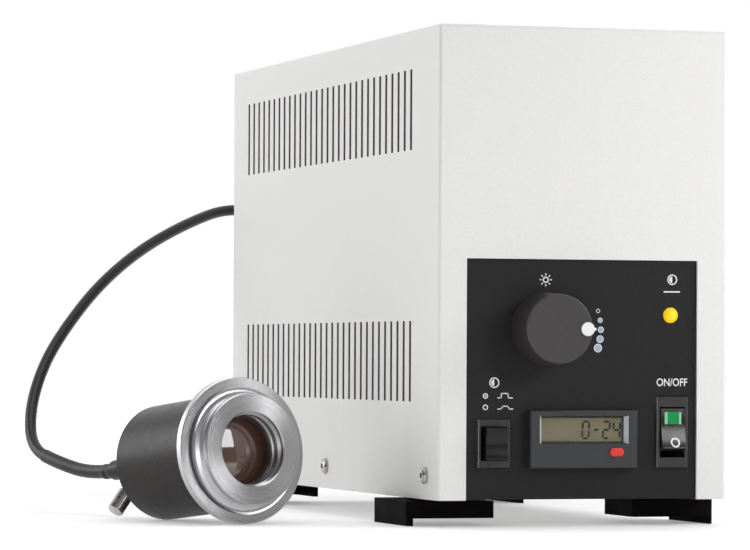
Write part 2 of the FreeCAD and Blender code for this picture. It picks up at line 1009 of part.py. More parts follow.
def knob_bush():
    bore = shaft_radius + running_play
    profile = [
        (bore, panel_front - bush_front),
        (bush_radius, panel_front - bush_front),
        (bush_radius, panel_back),
        (bush_flange_radius, panel_back),
        (bush_flange_radius, panel_back + bush_flange),
        (bush_radius, panel_back + bush_flange),
        (bush_radius, panel_back + bush_rear),
        (bore, panel_back + bush_rear),
    ]
    return turn_y(profile, knob_x, knob_height)


def knob_bush_nut():
    front = panel_front - nut_thickness
    nut = hex_prism_y(knob_x, knob_height, nut_across_flats, front, panel_front)
    hole = rod_y(knob_x, knob_height, bush_radius + running_play, front - over, panel_front + over)
    return nut.cut(hole)


def shaft_bracket():
    y1 = shaft_bracket_y
    y0 = y1 - shaft_bracket_sheet
    top = bench_top - bench_sheet
    low = knob_height - shaft_bracket_drop
    profile = [
        (y0 - shaft_bracket_flange, top),
        (y1, top),
        (y1, low),
        (y0, low),
        (y0, top - shaft_bracket_sheet),
        (y0 - shaft_bracket_flange, top - shaft_bracket_sheet),
    ]
    half = shaft_bracket_width / 2
    bracket = extrude_x(profile, knob_x - half, knob_x + half)
    boss_front = (y0 + y1 - shaft_boss_length) / 2
    boss_back = boss_front + shaft_boss_length
    boss = rod_y(knob_x, knob_height, shaft_boss_radius, boss_front, boss_back)
    bore = rod_y(knob_x, knob_height, shaft_radius + running_play, boss_front - over, boss_back + over)
    return bracket.fuse(boss).cut(bore).removeSplitter()


def vane_point(radius, angle, y):
    turn = math.radians(vane_direction + angle)
    return Vector(knob_x + radius * math.cos(turn), y, knob_height + radius * math.sin(turn))


def vane_half_angle():
    return knob_step_angle * (knob_steps - 1) / 2 + vane_edge_angle


def attenuator_vane():
    """Sector plate whose five apertures pass the beam one after another."""
    y0 = vane_y
    half = vane_half_angle()
    outer = vane_reach + vane_rim
    root = vane_hub_radius * vane_root_share
    edges = [
        Part.LineSegment(vane_point(root, -90, y0), vane_point(outer, -half, y0)).toShape(),
        Part.Arc(
            vane_point(outer, -half, y0), vane_point(outer, 0, y0), vane_point(outer, half, y0)
        ).toShape(),
        Part.LineSegment(vane_point(outer, half, y0), vane_point(root, 90, y0)).toShape(),
        Part.LineSegment(vane_point(root, 90, y0), vane_point(root, -90, y0)).toShape(),
    ]
    plate = Part.Face(Part.Wire(edges)).extrude(Vector(0, vane_thickness, 0))
    hub_back = y0 + vane_thickness + vane_hub_length
    hub = rod_y(knob_x, knob_height, vane_hub_radius, y0, hub_back)
    holes = [rod_y(knob_x, knob_height, shaft_radius + part_play, y0 - over, hub_back + over)]
    first = -knob_step_angle * (knob_steps - 1) / 2
    for k in range(knob_steps):
        centre = vane_point(vane_reach, first + k * knob_step_angle, 0)
        holes.append(rod_y(centre.x, centre.z, aperture_radii[k], y0 - over, y0 + vane_thickness + over))
    return plate.fuse(hub).cut(group(holes)).removeSplitter()


# ---------------------------------------------------------------- indicator and hour meter
def indicator_lens():
    front = panel_front
    r = indicator_radius
    profile = [
        (0, front - indicator_proud),
        (r * 0.45, front - indicator_proud * 0.86),
        (r * 0.8, front - indicator_proud * 0.45),
        (r, front),
        (r, front + indicator_length),
        (0, front + indicator_length),
    ]
    return turn_y(profile, sign_x, lamp_sign_height)


def indicator_holder():
    inner = indicator_radius + part_play
    outer = inner + holder_wall
    y0 = panel_back
    y1 = y0 + holder_length
    tube = rod_y(sign_x, lamp_sign_height, outer, y0, y1)
    nut = hex_prism_y(sign_x, lamp_sign_height, 2 * (outer + holder_nut_land), y0, y0 + holder_nut)
    bore = rod_y(sign_x, lamp_sign_height, inner, y0 - over, y1 + over)
    return tube.fuse(nut).cut(bore).removeSplitter()


def meter_window_place():
    return meter_x + meter_window_offset_x, meter_height + meter_window_offset_z


def reset_slot(grow, y0, y1):
    """Oval of the reset button, along Y."""
    x = meter_x + reset_offset_x
    z = meter_height + reset_offset_z
    radius = reset_height / 2 + grow
    half = (reset_width - reset_height) / 2
    oval = centred_block(x, z, 2 * half, 2 * radius, y0, y1)
    for side in (-1, 1):
        oval = oval.fuse(rod_y(x + side * half, z, radius, y0, y1))
    return oval.removeSplitter()


def meter_layer(margin, y0, y1):
    """Block of the window's outline, smaller by the margin on every side."""
    x, z = meter_window_place()
    width = meter_window_width - 2 * margin
    return centred_block(x, z, width, meter_window_height - 2 * margin, y0, y1)


def meter_flare(front, back):
    """Mouth of the window, wider toward the front."""
    x, z = meter_window_place()
    share = 1.0 + over / (back - front)
    outlines = []
    for y, grow in ((front - over, share), (back, 0.0)):
        half = meter_window_width / 2 + meter_window_flare_x * grow
        high = meter_window_height / 2 + meter_window_flare_z * grow
        corners = [(x - half, z - high), (x + half, z - high), (x + half, z + high), (x - half, z + high)]
        points = [Vector(cx, y, cz) for cx, cz in corners]
        outlines.append(Part.makePolygon(points + [points[0]]))
    return Part.makeLoft(outlines, True)


def meter_case():
    front = panel_front - meter_proud
    bezel = centred_block(meter_x, meter_height, meter_bezel_width, meter_bezel_height, front, panel_front)
    bezel = bezel.makeChamfer(meter_bevel, edges_where(bezel, lambda b: same(b.YMax, front)))
    back = panel_front + meter_body_depth
    body = centred_block(meter_x, meter_height, meter_body_width, meter_body_height, panel_front, back)
    reset_back = front - reset_proud + reset_length + reset_travel + reset_end_gap
    cuts = [
        meter_flare(front, window_front),
        meter_layer(0.0, window_front, window_back),
        meter_layer(meter_ledge, window_back, display_front + meter_display_thickness),
        reset_slot(reset_play, front - over, reset_back),
    ]
    return bezel.fuse(body).cut(group(cuts)).removeSplitter()


def meter_window():
    return meter_layer(part_play, window_front, window_back)


def meter_display():
    return meter_layer(meter_ledge + part_play, display_front, display_front + meter_display_thickness)


def meter_clip():
    """Frame pushed over the meter's body from behind, which holds it against the panel."""
    y0 = panel_back
    y1 = y0 + clip_depth
    play = part_play * 2
    wide = meter_body_width + play + 2 * clip_wall
    high = meter_body_height + play + 2 * clip_wall
    frame = centred_block(meter_x, meter_height, wide, high, y0, y1)
    hole_width = meter_body_width + play
    hole_height = meter_body_height + play
    return frame.cut(centred_block(meter_x, meter_height, hole_width, hole_height, y0 - over, y1 + over))


def reset_button():
    front = panel_front - meter_proud - reset_proud
    button = reset_slot(0.0, front, front + reset_length)
    return button.makeChamfer(reset_bevel, edges_where(button, lambda b: same(b.YMax, front)))


# ---------------------------------------------------------------- switches
def switch_shell(x, z, bezel_height, body_height, body_depth):
    """Snap-in switch: a bezel with bevelled long sides on a body behind the panel."""
    front = panel_front - switch_bezel
    half = switch_bezel_width / 2
    outline = [
        (x - half, panel_front),
        (x - half + switch_bevel, front),
        (x + half - switch_bevel, front),
        (x + half, panel_front),
    ]
    low = z - bezel_height / 2
    bezel = extrude_z(outline, low, low + bezel_height)
    body = centred_block(x, z, switch_body_width, body_height, panel_front, panel_front + body_depth)
    return bezel.fuse(body)


def shutter_switch_body():
    shell = switch_shell(
        shutter_x, shutter_height, shutter_bezel_height, shutter_body_height, shutter_body_depth
    )
    front = panel_front - switch_bezel
    wide = button_width + 2 * button_side_play
    high = button_height + 2 * button_play
    well_back = front + button_skirt + button_travel + button_end_gap
    well = centred_block(shutter_x, shutter_height, wide, high, front - over, well_back)
    stem_back = well_back + stem_length + button_end_gap
    stem_hole = rod_y(shutter_x, shutter_height, stem_radius + running_play, well_back - over, stem_back)
    return shell.cut(group([well, stem_hole])).removeSplitter()


def shutter_button():
    """Push-push cap with a finger dish across its face."""
    front = panel_front - switch_bezel - button_proud
    back = panel_front - switch_bezel + button_skirt
    cap = centred_block(shutter_x, shutter_height, button_width, button_height, front, back)
    cap = cap.makeFillet(button_round, edges_where(cap, lambda b: same(b.YMax, front) or b.YLength > over))
    half = button_height / 2 - button_dish_land
    dish_radius = (half * half + button_dish * button_dish) / (2 * button_dish)
    left = shutter_x - button_width / 2 - over
    right = shutter_x + button_width / 2 + over
    dish = rod_x(front + button_dish - dish_radius, shutter_height, dish_radius, left, right)
    stem = rod_y(shutter_x, shutter_height, stem_radius, back - over, back + stem_length)
    return cap.cut(dish).fuse(stem).removeSplitter()


def power_switch_body():
    shell = switch_shell(power_x, power_height, power_bezel_height, power_body_height, power_body_depth)
    front = panel_front - switch_bezel
    wide = rocker_width + 2 * rocker_play
    pivot_y = panel_front + rocker_pivot_depth
    turn = math.radians(rocker_angle)
    mouth = rocker_half_length * math.cos(turn) + rocker_reach * math.sin(turn) + rocker_mouth_play
    left = power_x - wide / 2
    right = power_x + wide / 2
    low = power_height - mouth
    high = power_height + mouth
    well = block(left, right, front - over, pivot_y, low, high)
    swing = rod_x(pivot_y, power_height, mouth, left, right)
    room = block(left, right, pivot_y - over, pivot_y + rocker_room, low, high)
    half = switch_body_width / 2 + over
    pins = rod_x(pivot_y, power_height, rocker_pin_radius + running_play, power_x - half, power_x + half)
    return shell.cut(group([well, swing.common(room), pins])).removeSplitter()


def rocker_turn(shape, angle):
    pivot = Vector(power_x, panel_front + rocker_pivot_depth, power_height)
    shape.rotate(pivot, Vector(1, 0, 0), angle)
    return shape


def rocker_level():
    """The rocker half-way between ON and OFF: a shallow trough in front of its pivot."""
    pivot_y = panel_front + rocker_pivot_depth
    z = power_height
    end_y = pivot_y - rocker_reach
    half = rocker_half_length
    x = power_x - rocker_width / 2
    corners = [
        (end_y, z - half),
        (end_y + rocker_lip, z - half),
        (pivot_y - rocker_pin_radius, z - rocker_waist),
        (pivot_y + rocker_root, z - rocker_root),
        (pivot_y + rocker_root, z + rocker_root),
        (pivot_y - rocker_pin_radius, z + rocker_waist),
        (end_y + rocker_lip, z + half),
        (end_y, z + half),
    ]
    points = [Vector(x, cy, cz) for cy, cz in corners]
    edges = [Part.LineSegment(a, b).toShape() for a, b in zip(points, points[1:])]
    edges.append(Part.Arc(points[-1], Vector(x, end_y + rocker_valley, z), points[0]).toShape())
    rocker = Part.Face(Part.Wire(edges)).extrude(Vector(rocker_width, 0, 0))
    ends = edges_where(rocker, lambda b: same(b.YMin, end_y) and same(b.YMax, end_y) and b.XLength > over)
    return rocker.makeFillet(rocker_round, ends)


def lens_seat():
    """Point of the rocker's face under the middle of the lens, and the slope there."""
    radius = (rocker_half_length**2 + rocker_valley**2) / (2 * rocker_valley)
    slope = math.asin(lens_from_pivot / radius)
    floor_y = panel_front + rocker_pivot_depth - rocker_reach + rocker_valley
    y = floor_y - radius * (1.0 - math.cos(slope))
    return Vector(power_x, y, power_height + lens_from_pivot), math.degrees(slope)


def lens_block(grow, front, back):
    seat, _ = lens_seat()
    return centred_block(
        seat.x, seat.z, lens_width + 2 * grow, lens_height + 2 * grow, seat.y - front, seat.y + back
    )


def lens_seated(form):
    """The form turned square to the upper half of the rocker."""
    seat, slope = lens_seat()
    form.rotate(seat, Vector(1, 0, 0), slope)
    return form


def power_rocker():
    reach = rocker_width / 2 + rocker_pin_length
    pivot_y = panel_front + rocker_pivot_depth
    pin = rod_x(pivot_y, power_height, rocker_pin_radius, power_x - reach, power_x + reach)
    pocket = lens_seated(lens_block(lens_play, over, lens_depth))
    rocker = rocker_level().cut(pocket).fuse(pin)
    return rocker_turn(rocker.removeSplitter(), -rocker_angle)


def power_lens():
    lens = lens_block(0.0, lens_proud, lens_depth)
    front = lens.BoundBox.YMin
    edges = edges_where(lens, lambda b: same(b.YMax, front) and b.ZLength > over)
    return rocker_turn(lens_seated(lens.makeChamfer(lens_bevel, edges)), -rocker_angle)


def control_board():
    """Board behind the indicator, on two standoffs from the panel."""
    y0 = panel_back + board_gap
    x1 = window_right - board_from_window
    x0 = x1 - board_width
    y1 = y0 + board_thickness
    board = block(x0, x1, y0, y1, board_bottom, board_top)
    for z in (board_bottom + standoff_inset, board_top - standoff_inset):
        board = board.fuse(rod_y(x0 + standoff_inset, z, standoff_radius, panel_back, y0))
    left = x0 + relay_inset
    low = board_bottom + relay_rise
    relay = block(left, left + relay_width, y1, y1 + relay_depth, low, low + relay_height)
    left = x0 + chip_inset
    top = board_top - chip_drop
    chip = block(left, left + chip_width, y1, y1 + chip_depth, top - chip_height, top)
    z = board_bottom + capacitor_rise
    capacitor = rod_y(x1 - capacitor_inset, z, capacitor_radius, y1, y1 + capacitor_length)
    return board.fuse(relay).fuse(chip).fuse(capacitor).removeSplitter()


# ---------------------------------------------------------------- optical bench and lamp
def optical_bench():
    left = bench_margin
    right = housing_width - bench_margin
    sheet = bench_sheet
    top = bench_top
    hat = [
        (left - bench_foot, tray_top),
        (left + sheet, tray_top),
        (left + sheet, top - sheet),
        (right - sheet, top - sheet),
        (right - sheet, tray_top),
        (right + bench_foot, tray_top),
        (right + bench_foot, tray_top + sheet),
        (right, tray_top + sheet),
        (right, top),
        (left, top),
        (left, tray_top + sheet),
        (left - bench_foot, tray_top + sheet),
    ]
    return extrude_y(hat, bench_front, bench_front + bench_length)


def lamp_bracket():
    y0 = lamp_bracket_front
    y1 = y0 + lamp_bracket_length
    sheet = lamp_bracket_sheet
    low = bench_top
    back_top = beam_height + socket_height / 2 + lamp_bracket_margin
    profile = [
        (y0, low),
        (y1, low),
        (y1, lamp_plate_top),
        (y1 - sheet, lamp_plate_top),
        (y1 - sheet, low + sheet),
        (y0 + sheet, low + sheet),
        (y0 + sheet, back_top),
        (y0, back_top),
    ]
    half = lamp_bracket_width / 2
    bracket = extrude_x(profile, beam_x - half, beam_x + half)
    beam_hole = rod_y(beam_x, beam_height, lamp_hole_radius, y1 - sheet - over, y1 + over)
    return bracket.cut(beam_hole)


def lamp_reflector():
    """Faceted bowl that throws the arc's light at the port, its rim against the lamp bracket."""
    rim_y = reflector_front
    back_y = rim_y - reflector_depth
    inner = reflector_radius - reflector_wall
    wall = reflector_wall
    bowl = [(reflector_neck, back_y)]
    for share in (0.3, 0.6, 0.82, 1.0):
        radius = reflector_neck + (inner - reflector_neck) * share
        bowl.append((radius, back_y + reflector_depth * share**2))
    outer = [(radius + wall, y - wall * 0.5) for radius, y in bowl[1:-1]]
    rim = [
        (inner + wall + reflector_rim_land, rim_y),
        (inner + wall + reflector_rim_land, rim_y - reflector_rim),
        (inner + wall, rim_y - reflector_rim),
    ]
    return turn_y(bowl + rim + outer[::-1] + [(reflector_neck, back_y - wall * 1.3)], beam_x, beam_height)


def lamp_burner():
    """Arc capsule on its ceramic base, which plugs into the socket."""
    base_y = socket_back - socket_seat_depth
    base_end = base_y + burner_base_length
    bulb_y = reflector_front - reflector_depth + burner_from_neck
    tip_y = bulb_y + burner_bulb_radius + burner_stem_length
    r = burner_bulb_radius
    profile = [
        (0, base_y),
        (burner_base_radius, base_y),
        (burner_base_radius, base_end - burner_base_bevel_length),
        (burner_base_radius - burner_base_bevel, base_end),
        (burner_neck_radius, base_end),
        (burner_neck_radius, bulb_y - r),
        (r * 0.85, bulb_y - r * 0.5),
        (r, bulb_y),
        (r * 0.85, bulb_y + r * 0.5),
        (burner_neck_radius, bulb_y + r),
        (burner_neck_radius * 0.6, tip_y),
        (0, tip_y + burner_stem_round),
    ]
    return turn_y(profile, beam_x, beam_height)


def lamp_socket():
    y0 = lamp_bracket_front + lamp_bracket_sheet
    ceramic = centred_block(beam_x, beam_height, socket_width, socket_height, y0, socket_back)
    corners = edges_where(ceramic, lambda b: b.YLength > socket_depth / 2)
    ceramic = ceramic.makeFillet(socket_corner_radius, corners)
    seat_y = socket_back - socket_seat_depth
    return ceramic.cut(rod_y(beam_x, beam_height, burner_base_radius + part_play, seat_y, socket_back + over))


def optics_plate_form():
    y0 = optics_front
    y1 = y0 + optics_plate
    left = solenoid_x - solenoid_flange_radius - optics_plate_margin
    right = beam_x + optics_plate_side
    profile = [
        (y1 - optics_foot, bench_top),
        (y1, bench_top),
        (y1, optics_plate_top),
        (y0, optics_plate_top),
        (y0, bench_top + optics_foot_thickness),
        (y1 - optics_foot, bench_top + optics_foot_thickness),
    ]
    plate = extrude_x(profile, left, right)
    cuts = [
        rod_y(beam_x, beam_height, filter_clear_radius, y0 - over, y1 + over),
        rod_y(beam_x, beam_height, filter_radius + part_play, y0 - over, y0 + filter_thickness),
        rod_y(solenoid_x, solenoid_z, shutter_shaft_radius + shutter_shaft_play, y0 - over, y1 + over),
    ]
    return plate.cut(group(cuts))


def heat_filter():
    y0 = optics_front
    return rod_y(beam_x, beam_height, filter_radius, y0, y0 + filter_thickness)


def shutter_solenoid():
    y1 = optics_front
    bore = shutter_shaft_radius + running_play
    profile = [
        (bore, y1 - solenoid_length + solenoid_end_wall),
        (0, y1 - solenoid_length + solenoid_end_wall),
        (0, y1 - solenoid_length),
        (solenoid_radius, y1 - solenoid_length),
        (solenoid_radius, y1 - solenoid_flange),
        (solenoid_flange_radius, y1 - solenoid_flange),
        (solenoid_flange_radius, y1),
        (bore, y1),
    ]
    return turn_y(profile, solenoid_x, solenoid_z)


def shutter_blade():
    """Flag on the solenoid's shaft; it closes the beam at rest and swings up to open it."""
    y0 = blade_y
    y1 = y0 + shutter_blade_thickness
    direction = math.atan2(beam_height - solenoid_z, beam_x - solenoid_x)
    half = shutter_arm_width / 2
    across = Vector(-math.sin(direction), 0, math.cos(direction))
    hub_centre = Vector(solenoid_x, y0, solenoid_z)
    beam_centre = Vector(beam_x, y0, beam_height)
    arm_corners = [
        hub_centre - across * half,
        beam_centre - across * half,
        beam_centre + across * half,
        hub_centre + across * half,
    ]
    arm = face_of(arm_corners).extrude(Vector(0, shutter_blade_thickness, 0))
    flag = rod_y(beam_x, beam_height, shutter_blade_radius, y0, y1)
    hub = rod_y(solenoid_x, solenoid_z, shutter_hub_radius, y0, y0 + shutter_hub_length)
    shaft_front = optics_front - solenoid_length + solenoid_end_wall + solenoid_end_gap
    shaft_back = y0 + shutter_hub_length + shutter_shaft_end
    shaft = rod_y(solenoid_x, solenoid_z, shutter_shaft_radius, shaft_front, shaft_back)
    return arm.fuse(flag).fuse(hub).fuse(shaft).removeSplitter()


def ballast_case():
    """Closed ballast with mounting ears, on the floor of the tray under the bench."""
    x = housing_width / 2
    half = ballast_width / 2
    y1 = ballast_front + ballast_length
    top = tray_top + ballast_height
    case = block(x - half, x + half, ballast_front, y1, tray_top, top)
    rounded = edges_where(case, lambda b: same(b.ZMin, top) or (b.ZLength > over and same(b.XMin, b.XMax)))
    case = case.makeFillet(ballast_corner_radius, rounded)
    wide = half - ballast_ear_margin
    ear_top = tray_top + ballast_ear_thickness
    ears = block(x - wide, x + wide, ballast_front - ballast_ear, y1 + ballast_ear, tray_top, ear_top)
    left = x - half + terminal_from_side
    low = tray_top + terminal_rise
    right = left + terminal_length
    terminals = block(left, right, ballast_front - terminal_depth, ballast_front, low, low + terminal_height)
    return case.fuse(ears).fuse(terminals).removeSplitter()


# ---------------------------------------------------------------- rear panel pieces
def fan_frame():
    y1 = rear_inside
    y0 = y1 - fan_frame_depth
    frame = centred_block(fan_x, fan_height, fan_size, fan_size, y0, y1)
    corners = edges_where(frame, lambda b: b.YLength > fan_frame_depth / 2)
    frame = frame.makeFillet(fan_corner_radius, corners)
    frame = frame.cut(rod_y(fan_x, fan_height, fan_bore_radius, y0 - over, y1 + over))
    strut_y = y1 - fan_strut_depth
    for angle in (0, 90):
        strut = centred_block(fan_x, fan_height, fan_strut_width, 2 * fan_bore_radius + over, strut_y, y1)
        strut.rotate(Vector(fan_x, 0, fan_height), Vector(0, 1, 0), angle)
        frame = frame.fuse(strut)
    frame = frame.fuse(rod_y(fan_x, fan_height, fan_hub_radius, strut_y, y1))
    frame = frame.fuse(rod_y(fan_x, fan_height, fan_pin_radius, strut_y - fan_pin_length, strut_y))
    hole = small_screw_radius + part_play
    holes = [rod_y(x, z, hole, y0 - over, y1 + over) for x, z in fan_screw_places()]
    return frame.cut(group(holes)).removeSplitter()


def fan_rotor():
    y1 = rear_inside - fan_strut_depth - fan_rotor_gap
    y0 = y1 - fan_rotor_depth
    hub = rod_y(fan_x, fan_height, fan_hub_radius, y0, y1)
    hub = hub.makeFillet(fan_hub_round, edges_where(hub, lambda b: same(b.YMax, y0)))
    middle = (y0 + y1) / 2
    blades = []
    for k in range(fan_blade_count):
        blade = Part.makeBox(
            fan_blade_radius,
            fan_blade_chord,
            fan_blade_thickness,
            Vector(fan_hub_radius - fan_blade_root, -fan_blade_chord / 2, -fan_blade_thickness / 2),
        )
        blade.rotate(Vector(0, 0, 0), Vector(1, 0, 0), fan_blade_angle)
        blade.rotate(Vector(0, 0, 0), Vector(0, 1, 0), 360.0 * k / fan_blade_count)
        blade.translate(Vector(fan_x, middle, fan_height))
        blades.append(blade)
    sweep_front = y0 + fan_blade_margin
    sweep = rod_y(fan_x, fan_height, fan_blade_radius, sweep_front, y1 - fan_blade_margin)
    rotor = hub
    for blade in blades:
        rotor = rotor.fuse(blade.common(sweep))
    bore_front = y1 - fan_pin_length - fan_pin_end_gap
    bore = rod_y(fan_x, fan_height, fan_pin_radius + running_play, bore_front, y1 + over)
    return rotor.cut(bore).removeSplitter()


def inlet_cavity_place():
    return inlet_x, inlet_height + inlet_cavity_offset


def mains_inlet():
    flange_back = rear_outside + inlet_flange
    flange = centred_block(
        inlet_x, inlet_height, inlet_flange_width, inlet_flange_height, rear_outside, flange_back
    )
    corners = edges_where(flange, lambda b: b.YLength > inlet_flange / 2)
    flange = flange.makeFillet(inlet_corner_radius, corners)
    body_front = rear_outside - inlet_body_depth
    body = centred_block(inlet_x, inlet_height, inlet_body_width, inlet_body_height, body_front, rear_outside)
    x, z = inlet_cavity_place()
    half = inlet_cavity_width / 2
    high = inlet_cavity_height / 2
    cut_corner = inlet_cut_corner
    cavity_front = flange_back - inlet_cavity_depth
    cavity = extrude_y(
        [
            (x - half, z - high),
            (x + half, z - high),
            (x + half, z + high - cut_corner),
            (x + half - cut_corner, z + high),
            (x - half + cut_corner, z + high),
            (x - half, z + high - cut_corner),
        ],
        cavity_front,
        flange_back + over,
    )
    drawer_room = centred_block(
        inlet_x,
        inlet_height + drawer_offset,
        drawer_width + 2 * drawer_play,
        drawer_height + 2 * drawer_play,
        flange_back - drawer_length - drawer_play,
        flange_back + over,
    )
    holes = [
        rod_y(sx, sz, small_screw_radius + part_play, rear_outside - inlet_screw_depth, flange_back + over)
        for sx, sz in inlet_screw_places()
    ]
    return flange.fuse(body).cut(group([cavity, drawer_room] + holes)).removeSplitter()


def inlet_pins():
    """Two power blades and the raised earth blade, standing on the floor of the cavity."""
    x, z = inlet_cavity_place()
    y0 = rear_outside + inlet_flange - inlet_cavity_depth
    y1 = y0 + inlet_pin_length
    pins = []
    places = [(side * inlet_pin_spacing, -inlet_pin_drop) for side in (-1, 1)]
    places.append((0.0, inlet_earth_rise))
    for dx, dz in places:
        pin = centred_block(x + dx, z + dz, inlet_pin_thickness, inlet_pin_width, y0, y1)
        tip = edges_where(pin, lambda b: same(b.YMin, y1) and b.ZLength > over)
        pins.append(pin.makeChamfer(inlet_pin_bevel, tip))
    return group(pins)


def fuse_drawer():
    flange_back = rear_outside + inlet_flange
    z = inlet_height + drawer_offset
    tray = centred_block(inlet_x, z, drawer_width, drawer_height, flange_back - drawer_length, flange_back)
    lip_width = drawer_width + 2 * drawer_lip_side
    lip_height = drawer_height + 2 * drawer_lip_rise
    lip = centred_block(inlet_x, z, lip_width, lip_height, flange_back, flange_back + drawer_lip)
    notch = centred_block(
        inlet_x,
        z + drawer_height / 2 + drawer_notch_offset,
        drawer_notch_width,
        drawer_notch_height,
        flange_back + drawer_notch_floor,
        flange_back + drawer_lip + over,
    )
    half = drawer_width / 2 - drawer_wall
    well = block(
        inlet_x - half,
        inlet_x + half,
        flange_back - drawer_length + drawer_wall,
        flange_back - drawer_wall,
        z - drawer_height / 2 + drawer_floor,
        z + drawer_height / 2 + over,
    )
    return tray.fuse(lip).cut(group([notch, well])).removeSplitter()


def remote_socket():
    y1 = rear_outside + remote_bush_proud
    y0 = rear_inside - remote_body_depth
    body = centred_block(remote_x, remote_height, remote_body_size, remote_body_size, y0, rear_inside)
    bush = rod_y(remote_x, remote_height, remote_bush_radius, rear_inside, y1)
    nut_back = rear_outside + remote_nut
    nut = hex_prism_y(remote_x, remote_height, remote_nut_across_flats, rear_outside, nut_back)
    bore = rod_y(remote_x, remote_height, remote_bore_radius, y1 - remote_bore_depth, y1 + over)
    return body.fuse(bush).fuse(nut).cut(bore).removeSplitter()


def clamp_y():
    return port_end - clamp_back


def guide_port():
    """Turned bush in the rear panel that holds the ferrule of the guide."""
    bore = ferrule_radius + running_play
    y0 = rear_inside - port_inner_length
    profile = [
        (bore, y0),
        (port_inner_radius - port_lead_in, y0),
        (port_inner_radius, y0 + port_lead_in),
        (port_inner_radius, rear_outside),
        (port_flange_radius, rear_outside),
        (port_flange_radius, rear_outside + port_flange - port_bevel),
        (port_flange_radius - port_bevel, rear_outside + port_flange),
        (port_barrel_radius, rear_outside + port_flange),
        (port_barrel_radius, port_end - port_bevel),
        (port_barrel_radius - port_bevel, port_end),
        (bore, port_end),
    ]
    port = turn_y(profile, beam_x, beam_height)
    top = beam_height + port_flange_radius
    holes = [rod_z(beam_x, clamp_y(), thumb_shank_radius + running_play, beam_height, top)]
    for x, z in port_screw_places():
        holes.append(rod_y(x, z, small_screw_radius + part_play, rear_inside, port_end))
    return port.cut(group(holes))


def knurled_head(radius, length):
    """Thumbscrew head along +Z from Z = 0, with straight knurls."""
    points = []
    for k in range(knurl_count):
        for part, r in ((0.0, radius), (0.5, radius - knurl_depth)):
            angle = 2 * math.pi * (k + part) / knurl_count
            points.append((r * math.cos(angle), r * math.sin(angle)))
    head = extrude_z(points, 0.0, length)
    chamfer = turn_z(
        [
            (0, 0),
            (radius - knurl_bevel, 0),
            (radius, knurl_bevel),
            (radius, length - knurl_bevel),
            (radius - knurl_bevel, length),
            (0, length),
        ]
    )
    return head.common(chamfer)


def port_clamp_screw():
    z0 = beam_height + port_barrel_radius + clamp_gap
    head = knurled_head(clamp_head_radius, clamp_head_length)
    head.translate(Vector(beam_x, clamp_y(), z0))
    tip = beam_height + ferrule_radius + clamp_tip_gap
    return head.fuse(rod_z(beam_x, clamp_y(), thumb_shank_radius, tip, z0 + head_overlap))


# ---------------------------------------------------------------- light guide
def guide_ferrule_lamp():
    y0 = rear_inside - port_inner_length + port_lead_in
    bevel = ferrule_bevel
    shoulder_bevel = ferrule_shoulder_bevel
    profile = [
        (0, y0),
        (ferrule_radius - bevel, y0),
        (ferrule_radius, y0 + bevel),
        (ferrule_radius, port_end),
        (ferrule_shoulder_radius, port_end),
        (ferrule_shoulder_radius, ferrule_end - shoulder_bevel),
        (ferrule_shoulder_radius - shoulder_bevel, ferrule_end),
        (0, ferrule_end),
    ]
    return turn_y(profile, beam_x, beam_height)


def guide_boot_lamp():
    y1 = ferrule_end + boot_length
    profile = [
        (guide_radius, ferrule_end),
        (boot_radius, ferrule_end),
        (boot_radius, ferrule_end + boot_length * boot_straight_share),
        (guide_radius + boot_wall, y1),
        (guide_radius, y1),
    ]
    return turn_y(profile, beam_x, beam_height)


def route_edges(points):
    """Straight runs joined by tangent arcs; returns the edges and the arc radii."""
    edges = []
    radii = []
    here = points[0]
    for k in range(1, len(points) - 1):
        before = points[k] - points[k - 1]
        after = points[k + 1] - points[k]
        trim = arc_share * min(before.Length, after.Length)
        turn = before.getAngle(after)
        radius = trim / math.tan(turn / 2)
        into = Vector(before).normalize()
        away = Vector(after).normalize()
        arc_in = points[k] - into * trim
        arc_out = points[k] + away * trim
        inward = (away - into).normalize()
        middle = points[k] + inward * (radius / math.cos(turn / 2) - radius)
        edges.append(Part.LineSegment(here, arc_in).toShape())
        edges.append(Part.Arc(arc_in, middle, arc_out).toShape())
        radii.append(radius)
        here = arc_out
    edges.append(Part.LineSegment(here, points[-1]).toShape())
    return edges, radii


def tube_along(edges, radius):
    start = edges[0].valueAt(edges[0].FirstParameter)
    toward = edges[0].tangentAt(edges[0].FirstParameter)
    section = Part.Wire(Part.makeCircle(radius, start, toward))
    return Part.Wire(edges).makePipeShell([section], True, False)


def split_route():
    """The route's edges on each side of the middle of the run where the sleeve starts."""
    edges, radii = route_edges(guide_points)
    line = edges[2 * sleeve_run]
    start = line.valueAt(line.FirstParameter)
    end = line.valueAt(line.LastParameter)
    middle = (start + end) / 2
    first = edges[: 2 * sleeve_run] + [Part.LineSegment(start, middle).toShape()]
    second = [Part.LineSegment(middle, end).toShape()] + edges[2 * sleeve_run + 1 :]
    return first, second, radii


def guide_tube():
    edges, _, radii = split_route()
    tube = tube_along(edges, guide_radius)
    length = sum(edge.Length for edge in edges)
    section = math.pi * guide_radius**2
    print("guide radii", [round(r, 1) for r in radii])
    print("guide tube length", round(length, 1), "volume share", round(tube.Volume / (section * length), 4))
    return tube


def guide_sleeve():
    _, edges, _ = split_route()
    length = sum(edge.Length for edge in edges)
    print("guide sleeve length", round(length, 1))
    sleeve = tube_along(edges, sleeve_radius)
    back = -adapter_ferrule_end - collar_length
    collar = Part.makeCylinder(collar_radius, collar_length, Vector(0, 0, back), Vector(0, 0, 1))
    collar.Placement = adapter_place
    return sleeve.fuse(collar).removeSplitter()


